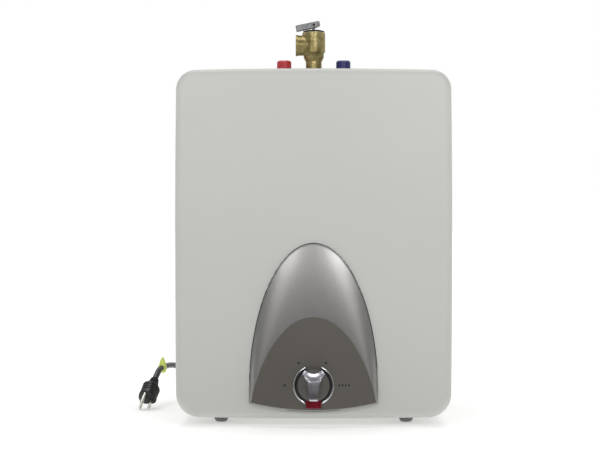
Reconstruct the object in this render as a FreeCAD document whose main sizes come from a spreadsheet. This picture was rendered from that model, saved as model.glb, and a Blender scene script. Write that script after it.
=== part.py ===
import FreeCAD, Part
import Sketcher
import math
import os

# Household point-of-use water heater: a square plastic case on four feet, with an insulated
# four gallon steel tank, a temperature dial on a silver panel, a brass relief valve on top,
# capped hot and cold nipples, and a short cord with a three-pin plug.
# Millimetres, +Z up, front towards -Y, origin on the floor under the middle of the case.

doc = FreeCAD.newDocument("water_heater")
sheet = doc.addObject("Spreadsheet::Sheet", "Sizes")
V = FreeCAD.Vector
X_AXIS = V(1, 0, 0)
Y_AXIS = V(0, 1, 0)
Z_AXIS = V(0, 0, 1)
parts = []


class Dim:
    """A size with its value and the spreadsheet expression that gives it."""

    def __init__(self, value, text):
        self.value = float(value)
        self.text = text

    def __add__(self, other):
        other = as_dim(other)
        return Dim(self.value + other.value, f"({self.text} + {other.text})")

    def __sub__(self, other):
        other = as_dim(other)
        return Dim(self.value - other.value, f"({self.text} - {other.text})")

    def __mul__(self, other):
        other = as_dim(other)
        return Dim(self.value * other.value, f"{self.text} * {other.text}")

    def __truediv__(self, other):
        other = as_dim(other)
        return Dim(self.value / other.value, f"{self.text} / ({other.text})")

    def __neg__(self):
        return Dim(-self.value, f"(0 - {self.text})")

    def __radd__(self, other):
        return as_dim(other) + self

    def __rsub__(self, other):
        return as_dim(other) - self

    def __rmul__(self, other):
        return as_dim(other) * self


def as_dim(number):
    return number if isinstance(number, Dim) else Dim(number, f"{float(number):g}")


def size(alias, value):
    """Writes one driving dimension into the sheet and returns it."""
    row = size.rows = getattr(size, "rows", 0) + 1
    sheet.set(f"A{row}", alias.replace("_", " "))
    sheet.set(f"B{row}", str(value))
    sheet.setAlias(f"B{row}", alias)
    return Dim(value, f"Sizes.{alias}")


# Case
case_width = size("case_width", 349)
case_height = size("case_height", 440)
case_depth = size("case_depth", 345)
foot_height = size("foot_height", 10)
case_wall = size("case_wall", 3)
seam_back = size("seam_back", 20)
corner_top = size("corner_top", 25)
corner_bottom = size("corner_bottom", 30)
edge_round = size("edge_round", 8)
side_bulge = size("side_bulge", 1.5)
top_bulge = size("top_bulge", 2.3)
bottom_bulge = size("bottom_bulge", 1.6)
front_crown = size("front_crown", 3)
lap_length = size("lap_length", 12)
lap_wall = size("lap_wall", 2)
fit_gap = size("fit_gap", 0.3)
collar_seat = size("collar_seat", 1)
collar_edge = size("collar_edge", 4)
case_screw_edge = size("case_screw_edge", 64)
screw_thick = size("screw_thick", 2.2)
screw_length = size("screw_length", 10)
boss_height = size("boss_height", 9)
foot_peg = size("foot_peg", 6)

# Service cover, control plate and small parts behind the panel
service_x = size("service_x", 50)
service_back = size("service_back", 62)
service_width = size("service_width", 96)
service_deep = size("service_deep", 56)
service_sheet = size("service_sheet", 1.5)
button_x = size("button_x", 50)
button_width = size("button_width", 6)
button_travel = size("button_travel", 1.5)
limit_low = size("limit_low", 20)
limit_width = size("limit_width", 40)
limit_deep = size("limit_deep", 30)
limit_height = size("limit_height", 24)
opening_width = size("opening_width", 104)
opening_height = size("opening_height", 78)
opening_low = size("opening_low", 38)
control_edge = size("control_edge", 10)
control_sheet = size("control_sheet", 1.5)
control_low = size("control_low", 19)
thermostat_width = size("thermostat_width", 44)
thermostat_deep = size("thermostat_deep", 26)
thermostat_height = size("thermostat_height", 40)
shaft_depth = size("shaft_depth", 14)
lamp_width = size("lamp_width", 5)
lamp_length = size("lamp_length", 20)
lamp_radius = size("lamp_radius", 25.6)
peg_width = size("peg_width", 6)
peg_edge = size("peg_edge", 9)
peg_low = size("peg_low", 62)
peg_top = size("peg_top", 14)
knob_flange = size("knob_flange", 2.2)
block_width = size("block_width", 34)
block_deep = size("block_deep", 22)
block_height = size("block_height", 18)
block_back = size("block_back", 45)
bracket_edge = size("bracket_edge", 14)
bracket_foot = size("bracket_foot", 14)
bumper_pitch = size("bumper_pitch", 200)
bumper_level = size("bumper_level", 120)
bumper_width = size("bumper_width", 20)
bumper_peg = size("bumper_peg", 8)

# Silver panel and dial
panel_half = size("panel_half", 80)
panel_rise = size("panel_rise", 185)
panel_apex = size("panel_apex", 219.4)
panel_foot = size("panel_foot", 19.7)
panel_drop = size("panel_drop", 9.3)
panel_relief = size("panel_relief", 10)
panel_lip = size("panel_lip", 2.5)
panel_wall = size("panel_wall", 2)
panel_seat = size("panel_seat", 1.2)
panel_gap = size("panel_gap", 0.5)
facet_apex = size("facet_apex", 128.4)
facet_inset = size("facet_inset", 1.6)
facet_swell = size("facet_swell", 2.1)
facet_flank = size("facet_flank", 1.3)
face_plate = size("face_plate", 0.8)
dial_height = size("dial_height", 43.1)
ring_outer = size("ring_outer", 52)
ring_band = size("ring_band", 3.4)
ring_proud = size("ring_proud", 3.2)
ring_opening = size("ring_opening", 46)
knob_width = size("knob_width", 43.6)
knob_base = size("knob_base", 6)
knob_rise = size("knob_rise", 9)
knob_gap = size("knob_gap", 0.5)
shaft_width = size("shaft_width", 6)
lens_width = size("lens_width", 18.8)
lens_height = size("lens_height", 10)
lens_proud = size("lens_proud", 4)
lens_radius = size("lens_radius", 23.7)

# Tank and what it holds
tank_width = size("tank_width", 260)
tank_wall = size("tank_wall", 2)
dome_height = size("dome_height", 35)
tank_bottom = size("tank_bottom", 90)
tank_straight = size("tank_straight", 250)
neck_width = size("neck_width", 112)
neck_bore = size("neck_bore", 76)
neck_height = size("neck_height", 8)
flange_plate = size("flange_plate", 5)
gasket_plate = size("gasket_plate", 3)
bolt_circle = size("bolt_circle", 94)
bolt_width = size("bolt_width", 8)
heater_rod = size("heater_rod", 8)
heater_height = size("heater_height", 150)
heater_pitch = size("heater_pitch", 36)
anode_width = size("anode_width", 18)
anode_height = size("anode_height", 190)
pocket_width = size("pocket_width", 10)
pocket_height = size("pocket_height", 120)

# Top fittings
nipple_pitch = size("nipple_pitch", 80)
nipple_width = size("nipple_width", 17.1)
nipple_bore = size("nipple_bore", 12.5)
nipple_stand = size("nipple_stand", 24)
cap_wall = size("cap_wall", 1.1)
cap_height = size("cap_height", 20)
cap_fit = size("cap_fit", 0.08)
socket_width = size("socket_width", 30)
thread_width = size("thread_width", 21.4)
collar_plate = size("collar_plate", 3)

bushing_width = size("bushing_width", 9.5)
neck_reach = size("neck_reach", 5)
button_low = size("button_low", 10.8)
button_length = size("button_length", 14)
heater_y = size("heater_y", 14)
anode_y = size("anode_y", -17)
anode_thread = size("anode_thread", 12)
pocket_x = size("pocket_x", 25)
pocket_y = size("pocket_y", -9)
element_tail = size("element_tail", 16)
bolt_length = size("bolt_length", 12)
dip_low = size("dip_low", 130)
dip_height = size("dip_height", 300)
cap_chamfer = size("cap_chamfer", 1.8)
socket_stand = size("socket_stand", 4)
seat_bore = size("seat_bore", 14)
chamber_width = size("chamber_width", 24)
disc_thick = size("disc_thick", 3)
lever_nose = size("lever_nose", 8.5)
spring_wire = size("spring_wire", 1.8)
spring_turns = size("spring_turns", 5)
probe_width = size("probe_width", 8)
probe_length = size("probe_length", 105)
foam_gap = size("foam_gap", 0.5)
works_width = size("works_width", 246)
works_x = size("works_x", -27)
works_back = size("works_back", 70)
wire_bend = size("wire_bend", 10)
relief_flange = size("relief_flange", 4)
relief_length = size("relief_length", 35)
relief_width = size("relief_width", 14)
relief_end = size("relief_end", 10.4)
wire_width = size("wire_width", 2.4)
bulb_width = size("bulb_width", 6)
bulb_length = size("bulb_length", 60)
coil_x = size("coil_x", -72)
coil_stand = size("coil_stand", 64.5)
coil_radius = size("coil_radius", 52)
coil_pitch = size("coil_pitch", 8.9)
floor_gap = size("floor_gap", 0.1)
tie_length = size("tie_length", 8)
tie_width = size("tie_width", 10.8)
tie_height = size("tie_height", 21)
plug_width = size("plug_width", 25)
plug_deep = size("plug_deep", 24)
plug_length = size("plug_length", 25)
plug_neck = size("plug_neck", 13)
blade_pitch = size("blade_pitch", 12.7)
blade_width = size("blade_width", 6.35)
blade_thick = size("blade_thick", 1.5)
blade_length = size("blade_length", 17)
earth_offset = size("earth_offset", 11.9)
earth_width = size("earth_width", 4.8)
earth_length = size("earth_length", 20)

# Relief valve, heights counted from the top of the case
valve_width = size("valve_width", 31)
valve_low = size("valve_low", 36)
valve_top = size("valve_top", 62.7)
hex_low = size("hex_low", 23.8)
hex_flats = size("hex_flats", 27)
hex_chamfer = size("hex_chamfer", 10)
cap_rim = size("cap_rim", 2.4)
thread_low = size("thread_low", -12)
outlet_width = size("outlet_width", 27.3)
outlet_height = size("outlet_height", 45.8)
outlet_reach = size("outlet_reach", 24.3)
outlet_bore = size("outlet_bore", 18.7)
outlet_depth = size("outlet_depth", 13)
lever_length = size("lever_length", 33)
lever_width = size("lever_width", 12)
lever_depth = size("lever_depth", 8)
lever_sheet = size("lever_sheet", 1.2)
lever_tilt = size("lever_tilt", 12)
pivot_height = size("pivot_height", 73.6)
pin_width = size("pin_width", 3)
stem_width = size("stem_width", 4)
run_fit = size("run_fit", 0.08)

# Wall bracket, feet and screws
bracket_length = size("bracket_length", 240)
bracket_height = size("bracket_height", 44)
bracket_stand = size("bracket_stand", 22)
bracket_sheet = size("bracket_sheet", 2)
bracket_level = size("bracket_level", 350)
slot_pitch = size("slot_pitch", 180)
slot_width = size("slot_width", 7)
slot_length = size("slot_length", 16)
foot_pitch_x = size("foot_pitch_x", 238)
foot_pitch_y = size("foot_pitch_y", 220)
foot_width = size("foot_width", 18)
screw_width = size("screw_width", 4)
screw_head = size("screw_head", 8)

# Cord and plug
cord_width = size("cord_width", 8.4)
gland_x = size("gland_x", -128)
gland_height = size("gland_height", 60)
gland_width = size("gland_width", 16)

front_y = -case_depth / 2
back_y = case_depth / 2
bottom_z = foot_height
top_z = foot_height + case_height
dial_z = bottom_z + dial_height
lamp_z = dial_z - lamp_radius
control_y = front_y + case_wall + fit_gap * 2


def bind(thing, **sizes):
    """Ties properties of a document object to expressions of the sheet."""
    for name, dim in sizes.items():
        thing.setExpression(name, as_dim(dim).text)
    return thing


def place(thing, x=0, y=0, z=0, turn=None):
    """Puts a document object at a place given by dimensions, with an optional rotation."""
    x, y, z = as_dim(x), as_dim(y), as_dim(z)
    thing.Placement = FreeCAD.Placement(V(x.value, y.value, z.value), turn or FreeCAD.Rotation())
    for letter, dim in (("x", x), ("y", y), ("z", z)):
        thing.setExpression(f".Placement.Base.{letter}", dim.text)
    return thing


def along(direction):
    """The rotation that turns +Z to a direction."""
    return FreeCAD.Rotation(Z_AXIS, direction)


def box(name, wide, deep, tall, x, y, z):
    """A box with its middle at x, y and its bottom at z."""
    wide, deep = as_dim(wide), as_dim(deep)
    thing = doc.addObject("Part::Box", name)
    bind(thing, Length=wide, Width=deep, Height=tall)
    return place(thing, x - wide / 2, y - deep / 2, z)


def rod(name, width, length, x, y, z, direction=Z_AXIS):
    """A round bar that starts at x, y, z and runs along a direction."""
    thing = doc.addObject("Part::Cylinder", name)
    bind(thing, Radius=as_dim(width) / 2, Height=length)
    return place(thing, x, y, z, along(direction))


def taper(name, width, end_width, length, x, y, z, direction=Z_AXIS):
    """A cone that starts at x, y, z and runs along a direction."""
    thing = doc.addObject("Part::Cone", name)
    bind(thing, Radius1=as_dim(width) / 2, Radius2=as_dim(end_width) / 2, Height=length)
    return place(thing, x, y, z, along(direction))


def fuse(name, *pieces):
    thing = doc.addObject("Part::MultiFuse", name)
    thing.Shapes = list(pieces)
    thing.Refine = True
    return thing


def cut(name, base, *tools):
    thing = doc.addObject("Part::Cut", name)
    thing.Base = base
    thing.Tool = tools[0] if len(tools) == 1 else group(name + "_tools", *tools)
    return thing


def common(name, first, second):
    thing = doc.addObject("Part::Common", name)
    thing.Base = first
    thing.Tool = second
    return thing


def group(name, *pieces):
    """Separate solids in one object, such as a set of like screws."""
    thing = doc.addObject("Part::Compound", name)
    thing.Links = list(pieces)
    return thing


def feature(name, shape):
    thing = doc.addObject("Part::Feature", name)
    thing.Shape = shape
    return thing


def sub_part(thing, label):
    """Names a sub-part; its label names its file."""
    thing.Label = label
    parts.append(thing)
    return thing


def plane_of(body, role):
    return next(f for f in body.Origin.OriginFeatures if f.Role == role)


def outline_sketch(body, role, points, offset=None):
    """A closed polygon through points, each corner held by two dimensions from the origin."""
    sketch = body.newObject("Sketcher::SketchObject", body.Name + "_sketch")
    sketch.AttachmentSupport = [(plane_of(body, role), "")]
    sketch.MapMode = "FlatFace"
    if offset is not None:
        sketch.setExpression(".AttachmentOffset.Base.z", as_dim(offset).text)
    corners = [(as_dim(a), as_dim(b)) for a, b in points]
    count = len(corners)
    for k in range(count):
        start, end = corners[k], corners[(k + 1) % count]
        line = Part.LineSegment(V(start[0].value, start[1].value, 0), V(end[0].value, end[1].value, 0))
        sketch.addGeometry(line, False)
    for k in range(count):
        sketch.addConstraint(Sketcher.Constraint("Coincident", k, 2, (k + 1) % count, 1))
    for k, corner in enumerate(corners):
        for kind, dim in zip(("DistanceX", "DistanceY"), corner):
            spot = sketch.addConstraint(Sketcher.Constraint(kind, -1, 1, k, 1, dim.value))
            sketch.setExpression(f"Constraints[{spot}]", dim.text)
    return sketch


def turned(name, profile, x=0, y=0, z=0, direction=Z_AXIS):
    """A lathe part: a profile of (radius, height) corners turned about its own axis."""
    body = doc.addObject("PartDesign::Body", name)
    sketch = outline_sketch(body, "XZ_Plane", profile)
    spin = body.newObject("PartDesign::Revolution", name + "_turn")
    spin.Profile = sketch
    spin.ReferenceAxis = (sketch, ["V_Axis"])
    spin.Angle = 360
    place(body, x, y, z, along(direction))
    return body


def pressed(name, role, points, length, offset=None, both=False):
    """A plate or block: a polygon padded square to one of the origin planes."""
    body = doc.addObject("PartDesign::Body", name)
    sketch = outline_sketch(body, role, points, offset)
    pad = body.newObject("PartDesign::Pad", name + "_pad")
    pad.Profile = sketch
    pad.Midplane = both
    bind(pad, Length=length)
    return body


def round_edges(name, base, radius, wanted):
    """Rounds the edges of an object that a test picks."""
    doc.recompute()
    thing = doc.addObject("Part::Fillet", name)
    thing.Base = base
    chosen = [k + 1 for k, edge in enumerate(base.Shape.Edges) if wanted(edge)]
    thing.Edges = [(k, radius.value, radius.value) for k in chosen]
    return thing


def arc_from(start, tangent, end):
    """The arc that leaves start along a tangent and ends at end."""
    chord = end - start
    along_chord = chord * (1 / chord.Length)
    side = tangent - along_chord * tangent.dot(along_chord)
    rise = chord.Length / 2 * math.tan(tangent.getAngle(chord) / 2)
    return Part.Arc(start, (start + end) * 0.5 + side * (rise / side.Length), end)


def biarc(start, tangent, end, end_tangent):
    """Two arcs that join two points along two unit tangents."""
    chord = end - start
    both = tangent + end_tangent
    a, b, c = both.dot(both) - 4, -2 * chord.dot(both), chord.dot(chord)
    reach = (-b - math.sqrt(b * b - 4 * a * c)) / (2 * a)
    joint = (start + tangent * reach + end - end_tangent * reach) * 0.5
    first = arc_from(start, tangent, joint)
    second = arc_from(end, -end_tangent, joint)
    middle = second.value((second.FirstParameter + second.LastParameter) / 2)
    return [first, Part.Arc(joint, middle, end)]


def tube_on(name, wire, width):
    """A round tube along a wire."""
    start = wire.Edges[0]
    first = start.FirstParameter
    profile = Part.Circle(start.valueAt(first), start.tangentAt(first), width / 2)
    solid = wire.makePipeShell([Part.Wire([profile.toShape()])], True, False)
    whole = wire.Length * math.pi * width ** 2 / 4
    print(f"{name}: length {wire.Length:.1f}, volume {solid.Volume:.1f} of {whole:.1f}")
    return feature(name, solid)


def least_self_gap(wire, width):
    """The least gap between parts of a tube that lie more than four widths apart along it."""
    count = int(wire.Length / 1.5)
    points = wire.discretize(Number=count)
    apart = int(width * 4 / (wire.Length / (count - 1)))
    least = min((points[a] - points[b]).Length for a in range(count) for b in range(a + apart, count))
    return least - width


# Case


def bulge_radius(chord, rise):
    """The radius of an arc with this chord and rise."""
    return (chord * chord / 4 + rise * rise) / (rise * 2)


def case_outline():
    """The case seen from the front: four slightly bowed sides joined by round corners."""
    half = case_width / 2 - side_bulge
    low = bottom_z + bottom_bulge
    high = top_z - top_bulge
    corners = [(-half.value, low.value), (half.value, low.value)]
    corners += [(half.value, high.value), (-half.value, high.value)]
    rises = [bottom_bulge, side_bulge, top_bulge, side_bulge]
    chords = [half * 2, high - low, half * 2, high - low]
    rounds = [corner_bottom, corner_bottom, corner_top, corner_top]
    bows = [bulge_radius(chord, rise) for chord, rise in zip(chords, rises)]
    circles = []
    for k in range(4):
        (ax, az), (bx, bz) = corners[k], corners[(k + 1) % 4]
        reach = (bows[k].value - rises[k].value) / chords[k].value
        circles.append(((ax + bx) / 2 - (bz - az) * reach, (az + bz) / 2 + (bx - ax) * reach))

    def on_circle(middle, radius, towards):
        dx, dz = towards[0] - middle[0], towards[1] - middle[1]
        far = math.hypot(dx, dz)
        return (middle[0] + dx / far * radius, middle[1] + dz / far * radius)

    def round_centre(k):
        """The centre of the round that touches two sides from inside."""
        before = circles[k - 1], bows[k - 1].value - rounds[k].value
        after = circles[k], bows[k].value - rounds[k].value
        dx, dz = after[0][0] - before[0][0], after[0][1] - before[0][1]
        far = math.hypot(dx, dz)
        first = (before[1] ** 2 - after[1] ** 2 + far ** 2) / (2 * far)
        side = math.sqrt(before[1] ** 2 - first ** 2)
        foot = (before[0][0] + first * dx / far, before[0][1] + first * dz / far)
        ends = [(foot[0] + s * side * dz / far, foot[1] - s * side * dx / far) for s in (-1, 1)]
        return min(ends, key=lambda end: math.dist(end, corners[k]))

    centres = [round_centre(k) for k in range(4)]
    sketch = doc.addObject("Sketcher::SketchObject", "case_outline")
    sketch.Placement = FreeCAD.Placement(V(0, 0, 0), FreeCAD.Rotation(X_AXIS, 90))
    radii = []
    for k in range(4):
        after = (k + 1) % 4
        start = on_circle(circles[k], bows[k].value, centres[k])
        end = on_circle(circles[k], bows[k].value, centres[after])
        middle = on_circle(circles[k], bows[k].value, ((start[0] + end[0]) / 2, (start[1] + end[1]) / 2))
        turn = on_circle(centres[after], rounds[after].value, corners[after])
        leave = on_circle(circles[after], bows[after].value, centres[after])
        sketch.addGeometry(Part.Arc(V(*start, 0), V(*middle, 0), V(*end, 0)), False)
        sketch.addGeometry(Part.Arc(V(*end, 0), V(*turn, 0), V(*leave, 0)), False)
        radii += [bows[k], rounds[after]]
    for k in range(8):
        after = (k + 1) % 8
        ends = [(1, sketch.Geometry[k].StartPoint), (2, sketch.Geometry[k].EndPoint)]
        heads = [(1, sketch.Geometry[after].StartPoint), (2, sketch.Geometry[after].EndPoint)]
        pairs = [(a, b, (p - q).Length) for a, p in ends for b, q in heads]
        tail, head, _ = min(pairs, key=lambda pair: pair[2])
        sketch.addConstraint(Sketcher.Constraint("Tangent", k, tail, after, head))
    for k, radius in enumerate(radii):
        spot = sketch.addConstraint(Sketcher.Constraint("Radius", k, sketch.Geometry[k].Radius))
        sketch.setExpression(f"Constraints[{spot}]", radius.text)
    return sketch


case_sketch = case_outline()


def case_block(name, inset, start, length, rounded=True):
    """A slice of the case: its outline drawn in by inset, with the bowed front if it reaches there."""
    outline = case_sketch
    if as_dim(inset).value:
        outline = doc.addObject("Part::Offset2D", name + "_outline")
        outline.Source = case_sketch
        bind(outline, Value=-as_dim(inset))
    block = doc.addObject("Part::Extrusion", name + "_block")
    block.Base = outline
    block.Dir = Y_AXIS
    block.Solid = True
    bind(block, LengthFwd=length)
    place(block, 0, start, 0)
    if not rounded:
        return block
    crown = bulge_radius(case_width, front_crown)
    bow = doc.addObject("Part::Cylinder", name + "_bow")
    bind(bow, Radius=crown - inset, Height=top_z * 2)
    place(bow, 0, front_y + crown, -top_z / 2)
    shape = common(name + "_bowed", block, bow)
    limit = front_y + front_crown + inset + 1

    def at_front(edge):
        return edge.BoundBox.YMax < limit.value and edge.Length > 5

    return round_edges(name, shape, edge_round - inset, at_front)


def section(inset, blend, out):
    """One outline of the silver panel, from its foot on the case (0) to its flat dial face (1).

    The foot is an ellipse over a shallow arc, the dial face a steeper sided arch over the same arc.
    """
    half = panel_half.value - inset
    rise = panel_rise.value - inset
    apex = bottom_z.value + panel_apex.value - inset
    foot = bottom_z.value + panel_foot.value + inset
    lean = math.acos((foot - (apex - rise)) / rise)
    flat_half = half * math.sin(lean) - facet_inset.value
    flat_apex = bottom_z.value + facet_apex.value - inset
    flat_foot = foot + facet_inset.value
    points = []
    steps = 16
    for k in range(steps + 1):
        share = 2 * k / steps - 1
        outer = V(half * math.sin(lean * share), out, apex - rise + rise * math.cos(lean * share))
        fall = (flat_apex - flat_foot) * (1 - (1 - abs(share) ** facet_swell.value) ** (1 / facet_flank.value))
        inner = V(flat_half * share, out, flat_apex - fall)
        points.append(outer * (1 - blend) + inner * blend)
    arch = Part.BSplineCurve()
    arch.interpolate(points)
    drop = panel_drop.value
    low = V(0, out, points[0].z - drop)
    return Part.Wire([arch.toShape(), Part.Arc(points[-1], low, points[0]).toShape()])


def panel_block(name, inset):
    """The bulging panel as a solid: an upright rim, then a swell up to the flat dial face."""
    seat = front_y.value + panel_seat.value
    rim = front_y.value - panel_lip.value + inset
    top = front_y.value - panel_relief.value + inset
    skirt = Part.Face(section(inset, 0, seat)).extrude(V(0, rim - seat, 0))
    swell = rim + (top - rim) * 0.66
    steps = [section(inset, 0, rim), section(inset, 0.42, swell), section(inset, 1, top)]
    dome = Part.makeLoft(steps, True)
    return feature(name, skirt.fuse(dome).removeSplitter())


def arch_prism(name, inset, start, length):
    """A prism over the panel's foot outline, drawn in by inset."""
    return feature(name, Part.Face(section(inset, 0, start)).extrude(V(0, length, 0)))


def flat_prism(name, inset, start, length):
    """A prism over the outline of the dial face, drawn in by inset."""
    return feature(name, Part.Face(section(inset, 1, start)).extrude(V(0, length, 0)))


# Case shells

seat_low = bottom_z + bottom_bulge
seat_high = top_z - top_bulge
seat_top = top_z - collar_seat
panel_back = front_y + panel_seat
facet_y = front_y - panel_relief
plate_y = facet_y - face_plate
lap_inset = case_wall + fit_gap
nipple_top = top_z + nipple_stand
case_screw_x = case_width / 2 - case_screw_edge
case_screw_y = seam_back - lap_length / 2
cover_x = service_x
cover_y = front_y + service_back


def four_places(pitch_x, pitch_y):
    return [(sx * pitch_x / 2, sy * pitch_y / 2) for sx in (-1, 1) for sy in (-1, 1)]


def foot_seats(name):
    """Flat round seats sunk in the bowed underside, and the holes for the foot pegs."""
    tools = []
    for k, (x, y) in enumerate(four_places(foot_pitch_x, foot_pitch_y)):
        seat = foot_width + fit_gap * 2
        tools.append(rod(f"{name}_seat{k}", seat, foot_height, x, y, seat_low - foot_height))
        tools.append(rod(f"{name}_hole{k}", foot_peg + run_fit * 2, foot_height * 2, x, y, seat_low - 1))
    return tools


def case_screw_tools(name):
    """Holes and sunk seats for the four screws that hold the two shells together."""
    tools = []
    for k, side in enumerate((-1, 1)):
        x = side * case_screw_x
        reach = case_height / 8
        seat = screw_head + fit_gap * 2
        tools.append(rod(f"{name}_low{k}", screw_width, reach, x, case_screw_y, bottom_z - 1))
        tools.append(rod(f"{name}_high{k}", screw_width, reach, x, case_screw_y, top_z + 1, -Z_AXIS))
        tools.append(rod(f"{name}_lowseat{k}", seat, foot_height, x, case_screw_y, seat_low, -Z_AXIS))
        tools.append(rod(f"{name}_highseat{k}", seat, foot_height, x, case_screw_y, seat_high))
    return tools


def peg_places():
    """Where the panel's three snap pegs go through the front shell."""
    side = panel_half - peg_edge
    low = bottom_z + peg_low
    return [(-side, low), (side, low), (as_dim(0), bottom_z + panel_apex - peg_top)]


def make_front_shell():
    length = case_depth / 2 + seam_back
    outer = case_block("front_outer", 0, front_y - 10, length + 10)
    inner = case_block("front_inner", case_wall, front_y - 10, length + 11)
    pads = control_screw_rods("control_pad", screw_head, 1)
    for pad in pads:
        bind(pad, Height=control_y - front_y - case_wall + 1)
    outer = fuse("front_padded", cut("front_hollow", outer, inner), *pads)
    tools = [arch_prism("panel_recess", -panel_gap.value, front_y.value - 5, 5 + panel_seat.value)]
    tools.append(rod("front_lamp_hole", lamp_width + fit_gap * 2, 12, 0, front_y - 4, lamp_z, Y_AXIS))
    tools.append(box("control_opening", opening_width, case_wall * 4, opening_height, 0, front_y,
                     opening_low))
    for k, (x, z) in enumerate(peg_places()):
        wide = peg_width + run_fit * 2
        tools.append(rod(f"peg_hole{k}", wide, case_wall * 3, x, front_y - case_wall, z, Y_AXIS))
    tools += foot_seats("front_foot") + case_screw_tools("front_screw")
    tools.append(box("service_seat", service_width + fit_gap * 2, service_deep + fit_gap * 2, foot_height,
                     cover_x, cover_y, seat_low - foot_height))
    tools.append(box("service_opening", service_width - 16, service_deep - 8, foot_height * 2,
                     cover_x, cover_y, bottom_z - 1))
    tools += cover_screw_rods("service_hole", screw_width - 1, seat_low - 2, case_wall * 2)
    tools += top_hole_tools("front")
    tools += control_screw_rods("control_hole", screw_width - 1, 2)
    return sub_part(cut("front_shell_solid", outer, *tools), "front_shell")


def top_hole_tools(name):
    """Sunk seats and holes in the top for the nipples and the relief valve's socket."""
    tools = []
    for k, (x, wide) in enumerate(top_fittings()):
        seat = wide + collar_edge * 2 + fit_gap
        tools.append(rod(f"{name}_top_seat{k}", seat, foot_height, x, 0, seat_top))
        tools.append(rod(f"{name}_top_hole{k}", wide + case_wall, case_wall * 4, x, 0, top_z + 1, -Z_AXIS))
    return tools


def top_fittings():
    """Place and width of the hot nipple, the valve socket and the cold nipple."""
    return [(-nipple_pitch / 2, nipple_width), (as_dim(0), socket_width), (nipple_pitch / 2, nipple_width)]


def control_screw_rods(name, width, sink):
    """Rods at the four corners of the control plate, from sink inside the wall to the plate."""
    across = opening_width / 2 + control_edge / 2
    up = opening_height / 2
    middle = opening_low + up
    start = front_y + case_wall - sink
    spots = [(sx * across, middle + sz * (up - control_edge)) for sx in (-1, 1) for sz in (-1, 1)]
    return [rod(f"{name}{k}", width, sink + 4, x, start, z, Y_AXIS) for k, (x, z) in enumerate(spots)]


def cover_screw_rods(name, width, start, length):
    reach = service_width / 2 - 4
    return [rod(f"{name}{k}", width, length, cover_x + side * reach, cover_y, start)
            for k, side in enumerate((-1, 1))]


def make_rear_shell():
    """The rear half: a tub with a tongue that slides inside the front shell."""
    depth = case_depth / 2 - seam_back
    outer = case_block("rear_outer", 0, seam_back, depth, False)
    limit = back_y.value - 0.01
    back_edges = round_edges("rear_rounded", outer, edge_round, lambda e: e.BoundBox.YMin > limit)
    inner = case_block("rear_inner", case_wall, seam_back - 1, depth + 1 - case_wall, False)
    inner_limit = (back_y - case_wall).value - 0.01
    inner_edges = round_edges("rear_inner_rounded", inner, edge_round - case_wall,
                              lambda e: e.BoundBox.YMin > inner_limit)
    start = seam_back - lap_length
    tongue = case_block("tongue_outer", lap_inset, start, lap_length + 4, False)
    hollow = case_block("tongue_inner", lap_inset + lap_wall, start - 1, lap_length + 6, False)
    ring = cut("tongue", tongue, hollow)
    root = cut("tongue_root", case_block("root_outer", case_wall - 1, seam_back, 4, False),
               case_block("root_inner", lap_inset + lap_wall, seam_back - 1, 6, False))
    bosses = []
    for k, side in enumerate((-1, 1)):
        x = side * case_screw_x
        low = bottom_z + lap_inset + lap_wall - 1
        high = top_z - lap_inset - lap_wall - boss_height
        bosses.append(box(f"low_boss{k}", 14, lap_length, boss_height, x, case_screw_y, low))
        bosses.append(box(f"high_boss{k}", 14, lap_length, boss_height, x, case_screw_y, high))
    post_low = bottom_z + case_wall - 1
    post = box("block_post", block_width, block_deep, gland_height - block_height / 2 - post_low,
               gland_x, back_y - block_back, post_low)
    solid = cut("rear_tub", back_edges, inner_edges)
    solid = fuse("rear_tub_fused", solid, ring, root, post, *bosses)
    tools = foot_seats("rear_foot") + case_screw_tools("rear_screw") + top_hole_tools("rear")
    tools.append(rod("gland_hole", gland_width + fit_gap * 2, case_wall * 4, gland_x,
                     back_y - case_wall * 2, gland_height, Y_AXIS))
    tools += bracket_screw_rods("bracket_hole", screw_width - 1, 4)
    tools += bumper_rods("bumper_hole", bumper_peg + run_fit * 2, case_wall * 3, back_y - case_wall * 2)
    return sub_part(cut("rear_shell_solid", solid, *tools), "rear_shell")


def bracket_screw_rods(name, width, sink):
    reach = bracket_length / 2 - bracket_edge
    rise = bracket_height / 2 + bracket_foot / 2
    spots = [(sx * reach, bracket_level + sz * rise) for sx in (-1, 1) for sz in (-1, 1)]
    return [rod(f"{name}{k}", width, bracket_sheet + sink, x, back_y - sink, z, Y_AXIS)
            for k, (x, z) in enumerate(spots)]


def bumper_rods(name, width, length, start):
    return [rod(f"{name}{k}", width, length, side * bumper_pitch / 2, start, bumper_level, Y_AXIS)
            for k, side in enumerate((-1, 1))]


def make_case_screws():
    """Two screws under the case and two on top, into bosses of the rear shell, and the cover's two."""
    screws = []
    for k, side in enumerate((-1, 1)):
        x = side * case_screw_x
        for way, seat in ((Z_AXIS, seat_low), (-Z_AXIS, seat_high)):
            head = rod(f"case_head{k}", screw_head, screw_thick, x, case_screw_y, seat, -way)
            shank = rod(f"case_shank{k}", screw_width, screw_length, x, case_screw_y, seat, way)
            screws.append(fuse(f"case_screw{len(screws)}", head, shank))
    low = seat_low - service_sheet
    heads = cover_screw_rods("service_head", screw_head - 1, low - screw_thick, screw_thick)
    shanks = cover_screw_rods("service_shank", screw_width - 1, low, case_wall + 1)
    for k, (head, shank) in enumerate(zip(heads, shanks)):
        screws.append(fuse(f"service_screw{k}", head, shank))
    return sub_part(group("case_screw_set", *screws), "case_screws")


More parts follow.
